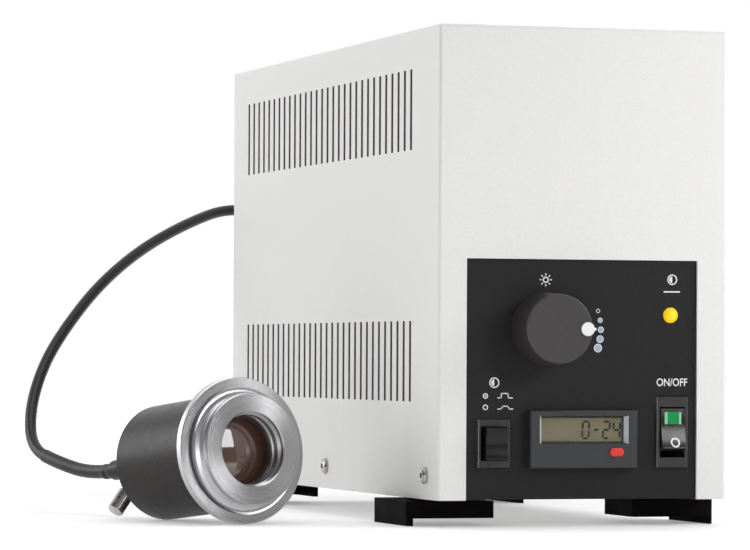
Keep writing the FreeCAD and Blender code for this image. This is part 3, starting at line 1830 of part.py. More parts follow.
def guide_ferrule_adapter():
    """Steel ferrule from inside the adapter's body to the start of the sleeve."""
    r = adapter_ferrule_radius
    z0 = -adapter_ferrule_end
    z1 = adapter_ferrule_inside - adapter_body_end
    bevel = ferrule_bevel
    outline = [(0, z0), (r - bevel, z0), (r, z0 + bevel), (r, z1 - bevel), (r - bevel, z1), (0, z1)]
    return placed(turn_z(outline))


# ---------------------------------------------------------------- coupling adapter
def placed(shape):
    shape.Placement = adapter_place.multiply(shape.Placement)
    return shape


def adapter_flange():
    """Turned ring: bore with two ledges, dovetail boss, cove, flange and spigot."""
    cut = turned_chamfer
    z_ledge = boss_height - mouth_depth
    outline = [
        (mouth_radius, z_ledge),
        (mouth_radius, boss_height - cut),
        (mouth_radius + cut, boss_height),
        (boss_radius - cut, boss_height),
        (boss_radius, boss_height - cut),
        (boss_radius, boss_height - cut - boss_rim),
        (neck_radius, cove_depth),
    ]
    inner = [
        (flange_radius - cut, 0.0),
        (flange_radius, -cut),
        (flange_radius, cut - flange_thickness),
        (flange_radius - cut, -flange_thickness),
        (spigot_radius, -flange_thickness),
        (spigot_radius, -flange_thickness - spigot_length),
        (lens_seat_radius, -flange_thickness - spigot_length),
        (lens_seat_radius, z_ledge - 2 * ledge_length - groove_length),
        (ledge_radius, z_ledge - 2 * ledge_length - groove_length),
        (ledge_radius, z_ledge - ledge_length - groove_length),
        (groove_radius, z_ledge - ledge_length - groove_length),
        (groove_radius, z_ledge - ledge_length),
        (ledge_radius, z_ledge - ledge_length),
        (ledge_radius, z_ledge),
        (mouth_radius, z_ledge),
    ]
    cove_start = Vector(neck_radius, 0, cove_depth)
    cove_middle = Vector(neck_radius + (cove_radius - neck_radius) * 0.27, 0, cove_depth * 0.24)
    cove_end = Vector(cove_radius, 0, 0)
    front = [Vector(r, 0, z) for r, z in outline]
    rest = [cove_end] + [Vector(r, 0, z) for r, z in inner]
    edges = [Part.LineSegment(front[k], front[k + 1]).toShape() for k in range(len(front) - 1)]
    edges.append(Part.Arc(cove_start, cove_middle, cove_end).toShape())
    edges += [Part.LineSegment(rest[k], rest[k + 1]).toShape() for k in range(len(rest) - 1)]
    face = Part.Face(Part.Wire(edges))
    ring = face.revolve(Vector(0, 0, 0), Vector(0, 0, 1), 360)
    x, y = pin_place()
    floor = pin_floor - flange_thickness
    return placed(ring.cut(rod_z(x, y, pin_radius + running_play, floor, over)))


def pin_place():
    angle = math.radians(pin_angle)
    return pin_orbit * math.cos(angle), pin_orbit * math.sin(angle)


def adapter_locating_pin():
    x, y = pin_place()
    return placed(rod_z(x, y, pin_radius, pin_floor - flange_thickness, -pin_recess))


def adapter_body():
    """Black barrel with a stepped bore and a narrow rear neck for the guide's ferrule."""
    r = adapter_body_radius
    inside = r - adapter_body_wall
    end = -adapter_body_end
    neck_end = end - rear_neck_length
    bore = adapter_ferrule_radius + running_play
    step = -flange_thickness - spigot_length
    profile = [
        (spigot_radius + part_play, -flange_thickness),
        (r - adapter_body_bevel, -flange_thickness),
        (r, -flange_thickness - adapter_body_bevel),
        (r, end + adapter_rear_bevel),
        (r - adapter_rear_bevel, end),
        (rear_neck_radius, end),
        (rear_neck_radius, neck_end + rear_neck_bevel),
        (rear_neck_radius - rear_neck_bevel, neck_end),
        (bore, neck_end),
        (bore, end + rear_wall),
        (inside - adapter_step_length, end + rear_wall),
        (inside, end + rear_wall + adapter_step_length),
        (inside, step - adapter_step_length),
        (spigot_radius + part_play, step - adapter_rear_bevel),
    ]
    body = turn_z(profile)
    hole = rod_z(0, 0, thumb_shank_radius + running_play, 0.0, rear_neck_radius + over)
    hole.Placement = thumb_place()
    return placed(body.cut(hole))


def thumb_place():
    """Axis of the thumbscrew: from the neck's axis down and to the left."""
    axis = Vector(-math.cos(math.radians(thumb_angle)), -math.sin(math.radians(thumb_angle)), 0)
    place = Placement(Vector(0, 0, -adapter_body_end - thumb_back), Rotation(Vector(0, 0, 1), axis))
    return place


def adapter_thumbscrew():
    start = rear_neck_radius + thumb_head_gap
    head = knurled_head(thumb_head_radius, thumb_head_length)
    head.translate(Vector(0, 0, start))
    tip = adapter_ferrule_radius + clamp_tip_gap
    shank = rod_z(0, 0, thumb_shank_radius, tip, start + head_overlap)
    screw = head.fuse(shank)
    screw.Placement = thumb_place()
    return placed(screw)


def lens(radius, dome_radius, edge, bulge, top):
    """Glass disc with a flat rim, a dome that reaches Z = top inside the rim, and a flat back."""
    rim_z = top - bulge
    low = rim_z - edge
    dome = Part.Arc(
        Vector(0, 0, top), Vector(dome_radius * 0.7, 0, top - bulge * 0.49), Vector(dome_radius, 0, rim_z)
    )
    corners = [
        Vector(dome_radius, 0, rim_z),
        Vector(radius, 0, rim_z),
        Vector(radius, 0, low),
        Vector(0, 0, low),
        Vector(0, 0, top),
    ]
    edges = [dome.toShape()]
    edges += [Part.LineSegment(corners[k], corners[k + 1]).toShape() for k in range(len(corners) - 1)]
    return Part.Face(Part.Wire(edges)).revolve(Vector(0, 0, 0), Vector(0, 0, 1), 360)


def front_lens_top():
    seat = boss_height - mouth_depth - 2 * ledge_length - groove_length
    return seat - lens_ring_length


def adapter_lens_front():
    top = front_lens_top() + front_lens_bulge
    radius = lens_seat_radius - part_play
    dome_radius = lens_ring_bore - part_play
    return placed(lens(radius, dome_radius, front_lens_edge, front_lens_bulge, top))


def adapter_lens_ring():
    """Threaded ring that holds the front lens in its seat."""
    z0 = front_lens_top()
    outline = [
        (lens_ring_bore, z0 + lens_ring_bevel),
        (lens_ring_bore + lens_ring_bevel, z0),
        (lens_seat_radius - part_play, z0),
        (lens_seat_radius - part_play, z0 + lens_ring_length),
        (lens_ring_bore, z0 + lens_ring_length),
    ]
    return placed(turn_z(outline))


# ---------------------------------------------------------------- all pieces
def all_pieces():
    front_left = foot_front_left()
    front_right = mirror_x(front_left, housing_width / 2)
    pieces = {
        "housing_cover": housing_cover(),
        "base_tray": base_tray(),
        "front_panel": front_panel(),
        "rear_panel": rear_panel(),
        "cover_screws": cover_screws(),
        "rear_panel_screws": rear_panel_screws(),
        "foot_front_left": front_left,
        "foot_front_right": front_right,
        "foot_rear_left": rear_foot(front_left),
        "foot_rear_right": rear_foot(front_right),
        "foot_screws": foot_screws(),
        "intensity_knob": intensity_knob(),
        "knob_pointer": knob_pointer(),
        "knob_shaft": knob_shaft(),
        "knob_bush": knob_bush(),
        "knob_bush_nut": knob_bush_nut(),
        "shaft_bracket": shaft_bracket(),
        "attenuator_vane": attenuator_vane(),
        "indicator_lens": indicator_lens(),
        "indicator_holder": indicator_holder(),
        "meter_case": meter_case(),
        "meter_window": meter_window(),
        "meter_display": meter_display(),
        "meter_clip": meter_clip(),
        "reset_button": reset_button(),
        "shutter_switch_body": shutter_switch_body(),
        "shutter_button": shutter_button(),
        "power_switch_body": power_switch_body(),
        "power_rocker": power_rocker(),
        "power_lens": power_lens(),
        "control_board": control_board(),
        "optical_bench": optical_bench(),
        "lamp_bracket": lamp_bracket(),
        "lamp_reflector": lamp_reflector(),
        "lamp_burner": lamp_burner(),
        "lamp_socket": lamp_socket(),
        "optics_plate": optics_plate_form(),
        "heat_filter": heat_filter(),
        "shutter_solenoid": shutter_solenoid(),
        "shutter_blade": shutter_blade(),
        "ballast_case": ballast_case(),
        "fan_frame": fan_frame(),
        "fan_rotor": fan_rotor(),
        "mains_inlet": mains_inlet(),
        "inlet_pins": inlet_pins(),
        "fuse_drawer": fuse_drawer(),
        "remote_socket": remote_socket(),
        "guide_port": guide_port(),
        "port_clamp_screw": port_clamp_screw(),
        "adapter_flange": adapter_flange(),
        "adapter_locating_pin": adapter_locating_pin(),
        "adapter_body": adapter_body(),
        "adapter_thumbscrew": adapter_thumbscrew(),
        "adapter_lens_front": adapter_lens_front(),
        "adapter_lens_ring": adapter_lens_ring(),
    }
    guide = {
        "guide_ferrule_lamp": guide_ferrule_lamp(),
        "guide_boot_lamp": guide_boot_lamp(),
        "guide_tube": guide_tube(),
        "guide_sleeve": guide_sleeve(),
        "guide_ferrule_adapter": guide_ferrule_adapter(),
    }
    return pieces, guide


def main():
    pieces, guide = all_pieces()
    bounds = FreeCAD.BoundBox()
    for shape in pieces.values():
        bounds.add(shape.optimalBoundingBox())
    shift = Vector(-bounds.Center.x, -bounds.Center.y, -bounds.ZMin)
    print("moved to the origin by", shift)
    os.makedirs("parts", exist_ok=True)
    for name, shape in list(pieces.items()) + list(guide.items()):
        shape.translate(shift)
        shape.exportStep(os.path.join("parts", name + ".step"))


main()
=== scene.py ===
import math

import bpy
from mathutils import Matrix, Vector


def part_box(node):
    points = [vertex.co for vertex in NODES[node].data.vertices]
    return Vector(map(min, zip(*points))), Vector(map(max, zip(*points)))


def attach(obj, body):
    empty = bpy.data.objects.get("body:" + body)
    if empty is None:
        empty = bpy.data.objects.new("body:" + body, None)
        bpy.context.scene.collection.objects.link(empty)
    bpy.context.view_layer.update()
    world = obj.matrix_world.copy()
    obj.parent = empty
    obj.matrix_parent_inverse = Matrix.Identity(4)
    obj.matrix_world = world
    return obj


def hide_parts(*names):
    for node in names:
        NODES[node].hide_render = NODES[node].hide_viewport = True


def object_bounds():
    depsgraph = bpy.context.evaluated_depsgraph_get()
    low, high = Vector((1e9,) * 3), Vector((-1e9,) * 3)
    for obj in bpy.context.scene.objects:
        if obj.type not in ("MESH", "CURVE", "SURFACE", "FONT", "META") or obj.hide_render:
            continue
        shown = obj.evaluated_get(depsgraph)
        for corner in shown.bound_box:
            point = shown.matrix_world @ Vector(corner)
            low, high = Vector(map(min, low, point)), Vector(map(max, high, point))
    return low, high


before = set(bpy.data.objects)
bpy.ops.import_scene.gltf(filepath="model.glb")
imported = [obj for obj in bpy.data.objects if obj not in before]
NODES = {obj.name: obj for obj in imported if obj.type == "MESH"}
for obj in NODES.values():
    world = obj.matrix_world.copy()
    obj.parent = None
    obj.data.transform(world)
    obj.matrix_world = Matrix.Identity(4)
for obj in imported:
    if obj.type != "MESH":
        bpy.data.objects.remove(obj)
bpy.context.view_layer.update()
CORNER = Vector((*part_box("housing_cover")[0].xy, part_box("front_panel")[0].z))
MM = 0.001
REARWARD = Vector((0, 1, 0))


def at(x, y, z):
    """A point given in millimetres from the cover's front left edge, at the panel's low edge."""
    return CORNER + Vector((x, y, z)) * MM


def middle(node):
    """The middle of a CAD node's box."""
    low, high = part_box(node)
    return (low + high) / 2


# ---------------------------------------------------------------- camera
CAMERA_PLACE = at(-529.7, -1611.4, 60.2)
CAMERA_YAW = math.radians(17.304)
CAMERA_ROLL = math.radians(-0.273)
FOCAL_PIXELS = 4046.4
IMAGE_WIDTH = 750
SENSOR_WIDTH = 36.0
HORIZON_BELOW_CENTRE = 81.25
NEAREST_SEEN = 0.05
FARTHEST_SEEN = 50.0


def add_camera():
    """The photograph's camera. It looks level, and a shift brings the object into the frame."""
    data = bpy.data.cameras.new("camera")
    data.sensor_fit = "HORIZONTAL"
    data.sensor_width = SENSOR_WIDTH
    data.lens = SENSOR_WIDTH * FOCAL_PIXELS / IMAGE_WIDTH
    data.shift_y = HORIZON_BELOW_CENTRE / IMAGE_WIDTH
    data.clip_start = NEAREST_SEEN
    data.clip_end = FARTHEST_SEEN
    camera = bpy.data.objects.new("camera", data)
    bpy.context.scene.collection.objects.link(camera)
    forward = Vector((math.sin(CAMERA_YAW), math.cos(CAMERA_YAW), 0))
    level = Vector((math.cos(CAMERA_YAW), -math.sin(CAMERA_YAW), 0))
    down = Vector((0, 0, -1))
    right = level * math.cos(CAMERA_ROLL) + down * math.sin(CAMERA_ROLL)
    below = down * math.cos(CAMERA_ROLL) - level * math.sin(CAMERA_ROLL)
    turn = Matrix((right, -below, -forward)).transposed().to_4x4()
    camera.matrix_world = Matrix.Translation(CAMERA_PLACE) @ turn
    bpy.context.scene.camera = camera


# ---------------------------------------------------------------- node helpers
def feed(links, socket, value):
    """Links another node's output to a socket, or sets the socket to a value."""
    if hasattr(value, "is_linked"):
        links.new(value, socket)
    else:
        socket.default_value = value


def math_node(nodes, links, operation, first, second=0.0):
    """The result of an operation on two values. A value is a number or another node's output."""
    made = nodes.new("ShaderNodeMath")
    made.operation = operation
    feed(links, made.inputs[0], first)
    feed(links, made.inputs[1], second)
    return made.outputs["Value"]


def smooth_range(nodes, links, source, start, end, low, high):
    """Goes softly from low to high while the source goes from start to end."""
    made = nodes.new("ShaderNodeMapRange")
    made.interpolation_type = "SMOOTHSTEP"
    links.new(source, made.inputs["Value"])
    for key, value in zip(("From Min", "From Max", "To Min", "To Max"), (start, end, low, high)):
        made.inputs[key].default_value = value
    return made.outputs["Result"]


def seen_share(nodes, links, others=("Is Glossy Ray", "Is Transmission Ray")):
    """1 for the camera's rays and for those of the other kinds, which also see the background."""
    path = nodes.new("ShaderNodeLightPath")
    share = path.outputs["Is Camera Ray"]
    for key in others:
        share = math_node(nodes, links, "MAXIMUM", share, path.outputs[key])
    return share


# ---------------------------------------------------------------- material helpers
NOISE_LOW = 0.3
NOISE_HIGH = 0.7
LEAST_ROUGHNESS = 0.02
MOSTLY_ACROSS = 0.5
MOSTLY_ALONG = 0.3


class Paint:
    """A node material built around one Principled shader. Sizes and depths are in millimetres."""

    def __init__(self, name, color, roughness, metallic=0.0, **sockets):
        self.material = bpy.data.materials.new(name)
        self.material.use_nodes = True
        self.nodes = self.material.node_tree.nodes
        self.links = self.material.node_tree.links
        self.shader = self.nodes["Principled BSDF"]
        self.color = color
        self.roughness = roughness
        self.set("Base Color", (*color, 1.0))
        self.set("Roughness", roughness)
        self.set("Metallic", metallic)
        for key, value in sockets.items():
            self.set(key.replace("_", " "), value)
        self.coordinates = self.nodes.new("ShaderNodeTexCoord").outputs["Object"]
        self.normal = None

    def set(self, socket, value):
        self.shader.inputs[socket].default_value = value

    def node(self, kind, **inputs):
        made = self.nodes.new(kind)
        for key, value in inputs.items():
            feed(self.links, made.inputs[key.replace("_", " ")], value)
        return made

    def math(self, operation, first, second=0.0):
        return math_node(self.nodes, self.links, operation, first, second)

    def vector(self, operation, *inputs):
        """The outputs of a vector operation on vectors or other nodes' outputs."""
        made = self.nodes.new("ShaderNodeVectorMath")
        made.operation = operation
        for value, socket in zip(inputs, made.inputs):
            feed(self.links, socket, value)
        return made.outputs

    def noise(self, size, detail=2.0, source=None):
        """Noise whose features are about as large as the size."""
        made = self.node("ShaderNodeTexNoise", Scale=1.0 / (size * MM), Detail=detail)
        self.links.new(source or self.coordinates, made.inputs["Vector"])
        return made.outputs["Fac"]

    def bump(self, height, depth, strength=1.0):
        """Raises the surface by up to the depth. Several bumps add up."""
        made = self.node("ShaderNodeBump", Strength=strength, Distance=depth * MM, Height=height)
        if self.normal is not None:
            self.links.new(self.normal, made.inputs["Normal"])
        self.normal = made.outputs["Normal"]
        self.links.new(self.normal, self.shader.inputs["Normal"])
        return self

    def tint(self, source, spread, start=NOISE_LOW, end=NOISE_HIGH):
        """Varies the base colour by a share up and down."""
        made = self.nodes.new("ShaderNodeValToRGB")
        low, high = made.color_ramp.elements
        low.position = start
        high.position = end
        low.color = (*(c * (1 - spread) for c in self.color), 1.0)
        high.color = (*(min(c * (1 + spread), 1.0) for c in self.color), 1.0)
        self.links.new(source, made.inputs["Fac"])
        self.links.new(made.outputs["Color"], self.shader.inputs["Base Color"])
        return self

    def rub(self, source, spread):
        """Varies the roughness up and down."""
        made = self.node("ShaderNodeMapRange", Value=source)
        made.inputs["From Min"].default_value = NOISE_LOW
        made.inputs["From Max"].default_value = NOISE_HIGH
        made.inputs["To Min"].default_value = max(self.roughness - spread, LEAST_ROUGHNESS)
        made.inputs["To Max"].default_value = min(self.roughness + spread, 1.0)
        self.links.new(made.outputs["Result"], self.shader.inputs["Roughness"])
        return self

    def relief(self, size, depth, detail=2.0, strength=1.0):
        """A bump from noise of one size."""
        return self.bump(self.noise(size, detail), depth, strength)

    def mottle(self, size, spread, detail=2.0):
        """A tint from noise of one size."""
        return self.tint(self.noise(size, detail), spread)

    def wear(self, size, spread):
        """A varied gloss from noise of one size."""
        return self.rub(self.noise(size), spread)

    def within(self, low, high, across="", along=""):
        """1 between two points, where the surface faces mostly along or mostly across an axis."""
        point = self.node("ShaderNodeSeparateXYZ", Vector=self.coordinates)
        normal = self.nodes.new("ShaderNodeNewGeometry").outputs["Normal"]
        facing = self.node("ShaderNodeSeparateXYZ", Vector=normal)
        share = 1.0
        for key, near, far in zip("XYZ", low, high):
            past = self.math("GREATER_THAN", point.outputs[key], near)
            share = self.math("MULTIPLY", share, past)
            before = self.math("LESS_THAN", point.outputs[key], far)
            share = self.math("MULTIPLY", share, before)
        if across:
            steep = self.math("ABSOLUTE", facing.outputs[across])
            turned = self.math("LESS_THAN", steep, MOSTLY_ACROSS)
            share = self.math("MULTIPLY", share, turned)
        if along:
            steep = self.math("ABSOLUTE", facing.outputs[along])
            turned = self.math("GREATER_THAN", steep, MOSTLY_ALONG)
            share = self.math("MULTIPLY", share, turned)
        return share

    def patch(self, share, color):
        """Paints another colour where the share is 1, over what the base colour already has."""
        socket = self.shader.inputs["Base Color"]
        made = self.nodes.new("ShaderNodeMix")
        made.data_type = "RGBA"
        self.links.new(share, made.inputs["Factor"])
        below, above = [s for s in made.inputs if s.type == "RGBA"]
        if socket.is_linked:
            self.links.new(socket.links[0].from_socket, below)
        else:
            below.default_value = (*self.color, 1.0)
        above.default_value = (*color, 1.0)
        self.links.new([s for s in made.outputs if s.type == "RGBA"][0], socket)
        return self

    def lathe(self, centre, axis):
        """Radius and height about an axis, and the direction round it, for turned pieces."""
        offset = self.vector("SUBTRACT", self.coordinates, centre)["Vector"]
        around = self.vector("CROSS_PRODUCT", axis, offset)["Vector"]
        radius = self.vector("LENGTH", around)["Value"]
        height = self.vector("DOT_PRODUCT", offset, axis)["Value"]
        both = self.node("ShaderNodeCombineXYZ", X=radius, Y=height)
        tangent = self.vector("NORMALIZE", around)["Vector"]
        return both.outputs["Vector"], tangent


def powder_coat(name, color, grain=0.55, rough=0.5):
    """Textured powder coat: a fine pebble, a slow waviness and faint flecks."""
    paint = Paint(name, color, rough)
    pebble = paint.noise(grain, detail=3.0)
    paint.relief(6.0, depth=0.03, detail=1.0)
    paint.bump(pebble, depth=0.05, strength=0.8)
    paint.tint(paint.noise(grain * 0.8), spread=0.035, start=0.35, end=0.65)
    return paint.wear(14.0, 0.05)


def moulded(name, color, rough=0.45, grain=0.35, depth=0.015, spread=0.12, **sockets):
    """Moulded plastic with spark-eroded grain."""
    paint = Paint(name, color, rough, **sockets)
    paint.relief(grain, depth, detail=3.0, strength=0.8)
    return paint.mottle(grain * 1.3, spread).wear(9.0, 0.06).material


def smooth_plastic(name, color, rough=0.25, spread=0.08, **sockets):
    """Polished plastic with a little waviness."""
    paint = Paint(name, color, rough, **sockets)
    paint.relief(2.5, depth=0.006, detail=1.0, strength=0.5)
    return paint.mottle(5.0, spread).wear(3.0, 0.04).material


ROLLED_ALONG_X = (0.03, 1, 1)
ROLLED_ALONG_Y = (1, 0.03, 1)


def sheet_metal(name, color, rough, rolled):
    """Rolled sheet with faint lines along one direction, in which its noise is stretched."""
    paint = Paint(name, color, rough, 0.9)
    stretched = paint.node("ShaderNodeMapping", Vector=paint.coordinates, Scale=rolled)
    lines = paint.noise(0.4, detail=3.0, source=stretched.outputs["Vector"])
    paint.bump(lines, depth=0.004, strength=0.5)
    return paint.mottle(22.0, 0.08, detail=3.0).rub(lines, 0.08).material


def turned_metal(name, color, rough, centre, axis, brushed):
    """Metal with lathe marks round an axis. Its gloss is drawn out across them by a share."""
    paint = Paint(name, color, rough, 1.0, Anisotropic=brushed)
    flat, tangent = paint.lathe(centre, axis)
    grooves = paint.noise(0.12, source=flat)
    paint.links.new(tangent, paint.shader.inputs["Tangent"])
    paint.bump(grooves, depth=0.004, strength=0.6)
    return paint.tint(paint.noise(0.9, source=flat), 0.10).rub(grooves, 0.07).material


def anodised(name, color, rough, centre, axis):
    """Black anodised aluminium, turned before it was anodised."""
    paint = Paint(name, color, rough, Anisotropic=0.45, Specular_IOR_Level=0.16)
    flat, tangent = paint.lathe(centre, axis)
    grooves = paint.noise(0.16, source=flat)
    paint.links.new(tangent, paint.shader.inputs["Tangent"])
    paint.bump(grooves, depth=0.004, strength=0.6)
    return paint.tint(paint.noise(1.5, source=flat), 0.15).wear(5.0, 0.05).material


def bare_metal(name, color, rough, grain, depth, wear):
    """Plain bright metal with a fine grain and uneven gloss. The wear is its size and spread."""
    paint = Paint(name, color, rough, 1.0).relief(grain, depth, strength=0.5)
    return paint.wear(*wear).material


def clear_window(name, color):
    """A thin clear window: light goes straight through, and its surface shines."""
    material = bpy.data.materials.new(name)
    material.use_nodes = True
    nodes = material.node_tree.nodes
    links = material.node_tree.links
    nodes.remove(nodes["Principled BSDF"])
    through = nodes.new("ShaderNodeBsdfTransparent")
    through.inputs["Color"].default_value = (*color, 1.0)
    shine = nodes.new("ShaderNodeBsdfGlossy")
    shine.inputs["Roughness"].default_value = 0.06
    fresnel = nodes.new("ShaderNodeFresnel")
    fresnel.inputs["IOR"].default_value = 1.46
    behind = nodes.new("ShaderNodeNewGeometry").outputs["Backfacing"]
    front = math_node(nodes, links, "SUBTRACT", 1.0, behind)
    share = math_node(nodes, links, "MULTIPLY", fresnel.outputs["Fac"], front)
    mix = nodes.new("ShaderNodeMixShader")
    links.new(share, mix.inputs["Fac"])
    links.new(through.outputs["BSDF"], mix.inputs[1])
    links.new(shine.outputs["BSDF"], mix.inputs[2])
    links.new(mix.outputs["Shader"], nodes["Material Output"].inputs["Surface"])
    return material


def glass(name, color):
    """Clear or tinted glass, very slightly uneven."""
    paint = Paint(name, color, 0.02, Transmission_Weight=0.9, IOR=1.5)
    return paint.relief(8.0, depth=0.003, detail=1.0, strength=0.4).material


def coat(material, *nodes):
    """Gives a material to every slot of some CAD nodes."""
    for node in nodes:
        slots = NODES[node].material_slots
        for slot in slots:
            slot.material = material
        if not slots:
            NODES[node].data.materials.append(material)


# ---------------------------------------------------------------- the adapter's axis
# sizes of the CAD adapter in millimetres: it lies on the rims of its flange and its body
FLANGE_RADIUS = 31.5
FLANGE_THICKNESS = 3.7
BODY_RADIUS = 25.2
BODY_END = 61.5
ADAPTER_HEADING = math.radians(18.7)
ADAPTER_TILT = math.atan((FLANGE_RADIUS - BODY_RADIUS) / (BODY_END - FLANGE_THICKNESS))
ADAPTER_AXIS = Vector(
    (
        math.sin(ADAPTER_HEADING) * math.cos(ADAPTER_TILT),
        -math.cos(ADAPTER_HEADING) * math.cos(ADAPTER_TILT),
        math.sin(ADAPTER_TILT),
    )
)
ADAPTER_FACE = at(-69.3, 55.6, 19.715)


# ---------------------------------------------------------------- finishes of the CAD pieces
# how far the zones of painted shade and painted highlights reach, from the piece's box or past it
VENT_SHADE_DEPTH = 1.15 * MM
VENT_ZONE = 15 * MM
VENT_SHADE_FROM_EDGE = 4 * MM
LENS_END = 1.1 * MM
BEZEL_SIDE = 2.2 * MM
BEZEL_EDGE = 0.5 * MM
POCKET_MARGIN = Vector((2, 9, 1)) * MM
# the colours of painted shade and painted highlights
VENT_SHADE_BROWN = (0.11, 0.09, 0.075)
BEZEL_EDGE_HIGHLIGHT = (0.20, 0.195, 0.19)
POCKET_HIGHLIGHT_GREY = (0.62, 0.63, 0.64)
LENS_END_HIGHLIGHT_GREEN = (0.32, 0.68, 0.44)


def finish_housing():
    """The hood with painted shade on the walls inside its vents, the panels, the tray, screws and
    feet.
    """
    cover = powder_coat("cover_paint", (0.80, 0.795, 0.785))
    low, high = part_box("housing_cover")
    # painted shade: the walls inside the vent slots on both flanks are painted dark brown, where
    # shade falls
    for near, far in ((low.x - MM, low.x + VENT_SHADE_DEPTH), (high.x - VENT_SHADE_DEPTH, high.x + MM)):
        start = (near, low.y + VENT_ZONE, low.z + VENT_SHADE_FROM_EDGE)
        end = (far, high.y - VENT_ZONE, high.z - VENT_ZONE)
        cover.patch(cover.within(start, end, across="X"), VENT_SHADE_BROWN)
    coat(cover.material, "housing_cover")
    panel = Paint("panel_black", (0.0125, 0.0115, 0.013), 0.5, Specular_IOR_Level=0.18)
    panel.relief(0.45, depth=0.012, detail=3.0, strength=0.7)
    coat(panel.mottle(0.6, 0.18).wear(18.0, 0.05).material, "front_panel")
    steel = sheet_metal("chassis_steel", (0.60, 0.60, 0.59), 0.38, ROLLED_ALONG_X)
    coat(steel, "base_tray", "rear_panel", "meter_clip")
    screws = bare_metal(
        "screw_steel", (0.40, 0.39, 0.38), 0.2, grain=0.3, depth=0.004, wear=(0.5, 0.08)
    )
    coat(screws, "cover_screws", "rear_panel_screws", "foot_screws")
    feet = ("foot_front_left", "foot_front_right", "foot_rear_left", "foot_rear_right")
    coat(moulded("foot_plastic", (0.006, 0.0052, 0.005), 0.42, Specular_IOR_Level=0.005), *feet)


def bezel(name, node):
    """Smooth black bezel, with a painted highlight along the front edges of its bevelled long
    sides.
    """
    paint = Paint(name, (0.018, 0.017, 0.016), 0.3)
    paint.relief(0.25, depth=0.006, detail=3.0, strength=0.8).mottle(0.33, 0.12).wear(9.0, 0.06)
    low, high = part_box(node)
    # painted highlight: a pale grey strip along the front edge of each bevelled long side
    for start, end in ((low.x - MM, low.x + BEZEL_SIDE), (high.x - BEZEL_SIDE, high.x + MM)):
        zone = ((start, low.y - MM, low.z - MM), (end, low.y + BEZEL_EDGE, high.z + MM))
        paint.patch(paint.within(*zone, along="X"), BEZEL_EDGE_HIGHLIGHT)
    return paint.material


def finish_knob():
    knob = moulded(
        "knob_plastic", (0.028, 0.024, 0.024), 0.48, grain=0.4, depth=0.03, spread=0.22
    )
    coat(knob, "intensity_knob")
    coat(smooth_plastic("pointer_white", (0.86, 0.86, 0.86), 0.35, spread=0.02), "knob_pointer")
    steel = bare_metal(
        "shaft_steel", (0.62, 0.62, 0.62), 0.25, grain=0.3, depth=0.003, wear=(2.0, 0.06)
    )
    coat(steel, "knob_shaft")
    shaft = (middle("knob_shaft"), REARWARD)
    brass = turned_metal("bush_brass", (0.62, 0.46, 0.22), 0.3, *shaft, brushed=0.4)
    coat(brass, "knob_bush", "knob_bush_nut")


def finish_indicator():
    """The shutter's lens, lit a little from within, and its holder."""
    glow = {"Emission_Color": (1, 0.62, 0.0, 1), "Emission_Strength": 0.32}
    amber = smooth_plastic("amber_lens", (0.95, 0.62, 0.002), 0.34, spread=0.02, **glow)
    coat(amber, "indicator_lens")
    coat(moulded("holder_black", (0.02, 0.02, 0.02)), "indicator_holder")


def finish_meter():
    """The hour meter, its case with a painted highlight on the flanks of the pocket round its
    window.
    """
    case = Paint("meter_black", (0.026, 0.029, 0.033), 0.42, Specular_IOR_Level=0.4)
    case.relief(0.3, depth=0.012, detail=3.0, strength=0.8).mottle(0.4, 0.2).wear(9.0, 0.06)
    low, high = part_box("meter_window")
    end = Vector((high.x + POCKET_MARGIN.x, low.y, high.z + POCKET_MARGIN.z))
    # painted highlight: the flanks of the pocket round the window are painted pale grey
    case.patch(case.within(low - POCKET_MARGIN, end, along="X"), POCKET_HIGHLIGHT_GREY)
    coat(case.material, "meter_case")
    coat(clear_window("meter_clear", (0.97, 0.98, 0.96)), "meter_window")
    display = Paint("meter_digits", (0.195, 0.153, 0.086), 0.45)
    coat(display.mottle(7.0, 0.08).wear(2.0, 0.05).material, "meter_display")
    coat(smooth_plastic("reset_red", (0.72, 0.035, 0.03), 0.3), "reset_button")


def finish_switches():
    """The switches' bezels, caps and rocker, and the green lens with painted highlights at its
    ends.
    """
    cap = smooth_plastic("cap_black", (0.007, 0.006, 0.006), 0.24, Specular_IOR_Level=0.3)
    coat(cap, "shutter_button")
    coat(smooth_plastic("rocker_black", (0.012, 0.011, 0.010), 0.2), "power_rocker")
    coat(bezel("bezel_black", "shutter_switch_body"), "shutter_switch_body")
    coat(bezel("bezel_black_power", "power_switch_body"), "power_switch_body")
    green = Paint("lens_green", (0.0, 0.30, 0.07), 0.12, Coat_Weight=0.6)
    green.relief(2.5, depth=0.006, detail=1.0, strength=0.5).mottle(5.0, 0.06).wear(3.0, 0.04)
    low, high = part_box("power_lens")
    # painted highlights: both ends of the lens are painted a paler green, for the glints on its
    # curved ends
    for start, end in ((low.x - MM, low.x + LENS_END), (high.x - LENS_END, high.x + MM)):
        zone = ((start, low.y - MM, low.z - MM), (end, high.y + MM, high.z + MM))
        green.patch(green.within(*zone), LENS_END_HIGHLIGHT_GREEN)
    coat(green.material, "power_lens")


